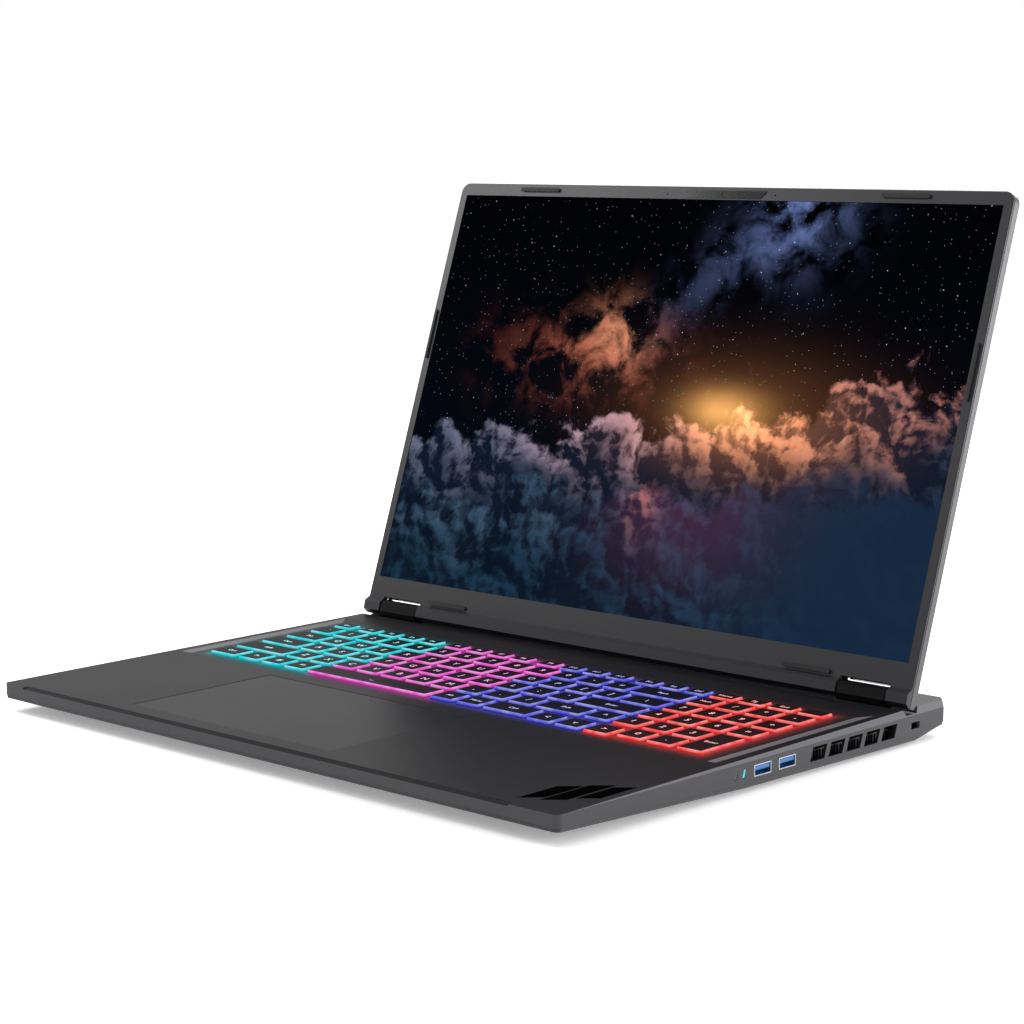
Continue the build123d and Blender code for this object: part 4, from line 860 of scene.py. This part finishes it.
class LAPTOP_OT_palm_mark(bpy.types.Operator):
    """Lay a plain black decal of three slanted bars on the palm rest"""

    bl_idname = "laptop.palm_mark"
    bl_label = "Palm rest decal"

    def execute(self, context):
        black = new_material("Decal black", (0.001, 0.001, 0.0012), 0.75, Specular_IOR_Level=0.0)
        made = []
        for x, y, length, width, slant in (
            (172.0, 28.0, 26.0, 9.0, 0.9), (182.0, 35.0, 33.0, 9.0, 0.9), (192.0, 43.0, 25.0, 8.0, 0.9),
        ):
            clear_selection()
            bpy.ops.mesh.primitive_plane_add(size=1.0)
            bar = bpy.context.object
            bpy.ops.object.mode_set(mode="EDIT")
            bpy.ops.mesh.select_all(action="SELECT")
            bpy.ops.transform.resize(value=(width * MM, length * MM, 1.0))
            bpy.ops.mesh.extrude_region_move(TRANSFORM_OT_translate={"value": (0.0, 0.0, GUARD)})
            bpy.ops.mesh.select_all(action="SELECT")
            bpy.ops.mesh.normals_make_consistent(inside=False)
            bpy.ops.object.mode_set(mode="OBJECT")
            for corner in bar.data.vertices:
                corner.co.y += corner.co.x * slant
            place = Matrix.Translation(deck_point(x * MM, deck_low.y + y * MM, 2 * GUARD))
            bar.matrix_world = place @ Matrix.Rotation(DECK_SLOPE, 4, "X")
            settle(bar)
            made.append(bar)
        dress(join(made, "palm_rest_decal"), black, "base")
        return {"FINISHED"}


# ---- Stage ---------------------------------------------------------------------------------------------


class LAPTOP_OT_stage(bpy.types.Operator):
    """Set the floor, the soft lights and the camera"""

    bl_idname = "laptop.stage"
    bl_label = "Stage"

    def execute(self, context):
        clear_selection()
        bpy.ops.mesh.primitive_plane_add(size=30.0)
        floor = context.object
        floor.name = "studio_floor"
        material = bpy.data.materials.new("Pale floor")
        material.use_nodes = True
        shader = material.node_tree.nodes["Principled BSDF"]
        shader.inputs["Base Color"].default_value = (0.95, 0.95, 0.95, 1.0)
        shader.inputs["Roughness"].default_value = 0.85
        shader.inputs["Emission Color"].default_value = (1.0, 1.0, 1.0, 1.0)
        shader.inputs["Emission Strength"].default_value = 0.26
        floor.data.materials.append(material)
        world = bpy.data.worlds.new("Studio")
        world.use_nodes = True
        tree = world.node_tree
        background = tree.nodes["Background"]
        background.inputs["Color"].default_value = (1.0, 1.0, 1.0, 1.0)
        seen = node(tree, "ShaderNodeLightPath").outputs["Is Camera Ray"]
        tree.links.new(ramp(tree, seen, 0.0, 1.0, 0.92, 1.0), background.inputs["Strength"])
        context.scene.world = world
        context.scene.view_settings.view_transform = "Standard"
        for name, place, size, power in (
            ("rear_softbox", (-0.30, 1.10, 0.95), 0.9, 16.0),
            ("right_softbox", (1.30, 1.15, 0.30), 0.8, 24.0),
            ("lid_softbox", (-0.76, -0.30, 0.62), 0.30, 4.0),
        ):
            self.softbox(context, name, Vector(place), size, power)
        self.camera(context)
        return {"FINISHED"}

    def softbox(self, context, name, place, size, power):
        lamp = bpy.data.lights.new(name, "AREA")
        lamp.size = size
        lamp.energy = power
        holder = bpy.data.objects.new(name, lamp)
        holder.location = place
        holder.rotation_euler = (Vector((0.0, 0.0, 0.05)) - place).to_track_quat("-Z", "Y").to_euler()
        context.scene.collection.objects.link(holder)

    def camera(self, context):
        lens = bpy.data.cameras.new("camera")
        lens.sensor_width = 36.0
        lens.lens = 90.16
        camera = bpy.data.objects.new("camera", lens)
        camera.location = (0.9247, -0.9751, 0.3016)
        camera.rotation_mode = "QUATERNION"
        camera.rotation_quaternion = Vector((-0.679, 0.720, -0.142)).to_track_quat("-Z", "Y")
        lens.clip_start = 0.05
        context.scene.collection.objects.link(camera)
        context.scene.camera = camera


class LAPTOP_PT_panel(bpy.types.Panel):
    """Lists the settings and the steps that finish the computer"""

    bl_idname = "LAPTOP_PT_panel"
    bl_label = "Notebook Computer"
    bl_space_type = "VIEW_3D"
    bl_region_type = "UI"
    bl_category = "Notebook"

    def draw(self, context):
        for group in SETTINGS:
            box = self.layout.box()
            for name in SETTINGS[group].__annotations__:
                box.prop(getattr(context.scene, group), name)
        for step in STEPS:
            self.layout.operator(step.bl_idname)


SETTINGS = {
    "case_look": CaseLook,
    "key_light": KeyLight,
    "display_look": DisplayLook,
    "detail_sizes": DetailSizes,
}
STEPS = (
    LAPTOP_OT_shared_effects,
    LAPTOP_OT_case_finishes,
    LAPTOP_OT_inner_finishes,
    LAPTOP_OT_key_finishes,
    LAPTOP_OT_key_legends,
    LAPTOP_OT_display_picture,
    LAPTOP_OT_hinge_trim,
    LAPTOP_OT_socket_contacts,
    LAPTOP_OT_palm_mark,
    LAPTOP_OT_stage,
)


def register():
    for group, kind in SETTINGS.items():
        bpy.utils.register_class(kind)
        setattr(bpy.types.Scene, group, bpy.props.PointerProperty(type=kind))
    for kind in (*STEPS, LAPTOP_PT_panel):
        bpy.utils.register_class(kind)


def unregister():
    for kind in reversed((*STEPS, LAPTOP_PT_panel)):
        bpy.utils.unregister_class(kind)
    for group, kind in SETTINGS.items():
        delattr(bpy.types.Scene, group)
        bpy.utils.unregister_class(kind)


def main():
    register()
    for step in STEPS:
        area, name = step.bl_idname.split(".")
        getattr(getattr(bpy.ops, area), name)()


if __name__ == "__main__":
    main()
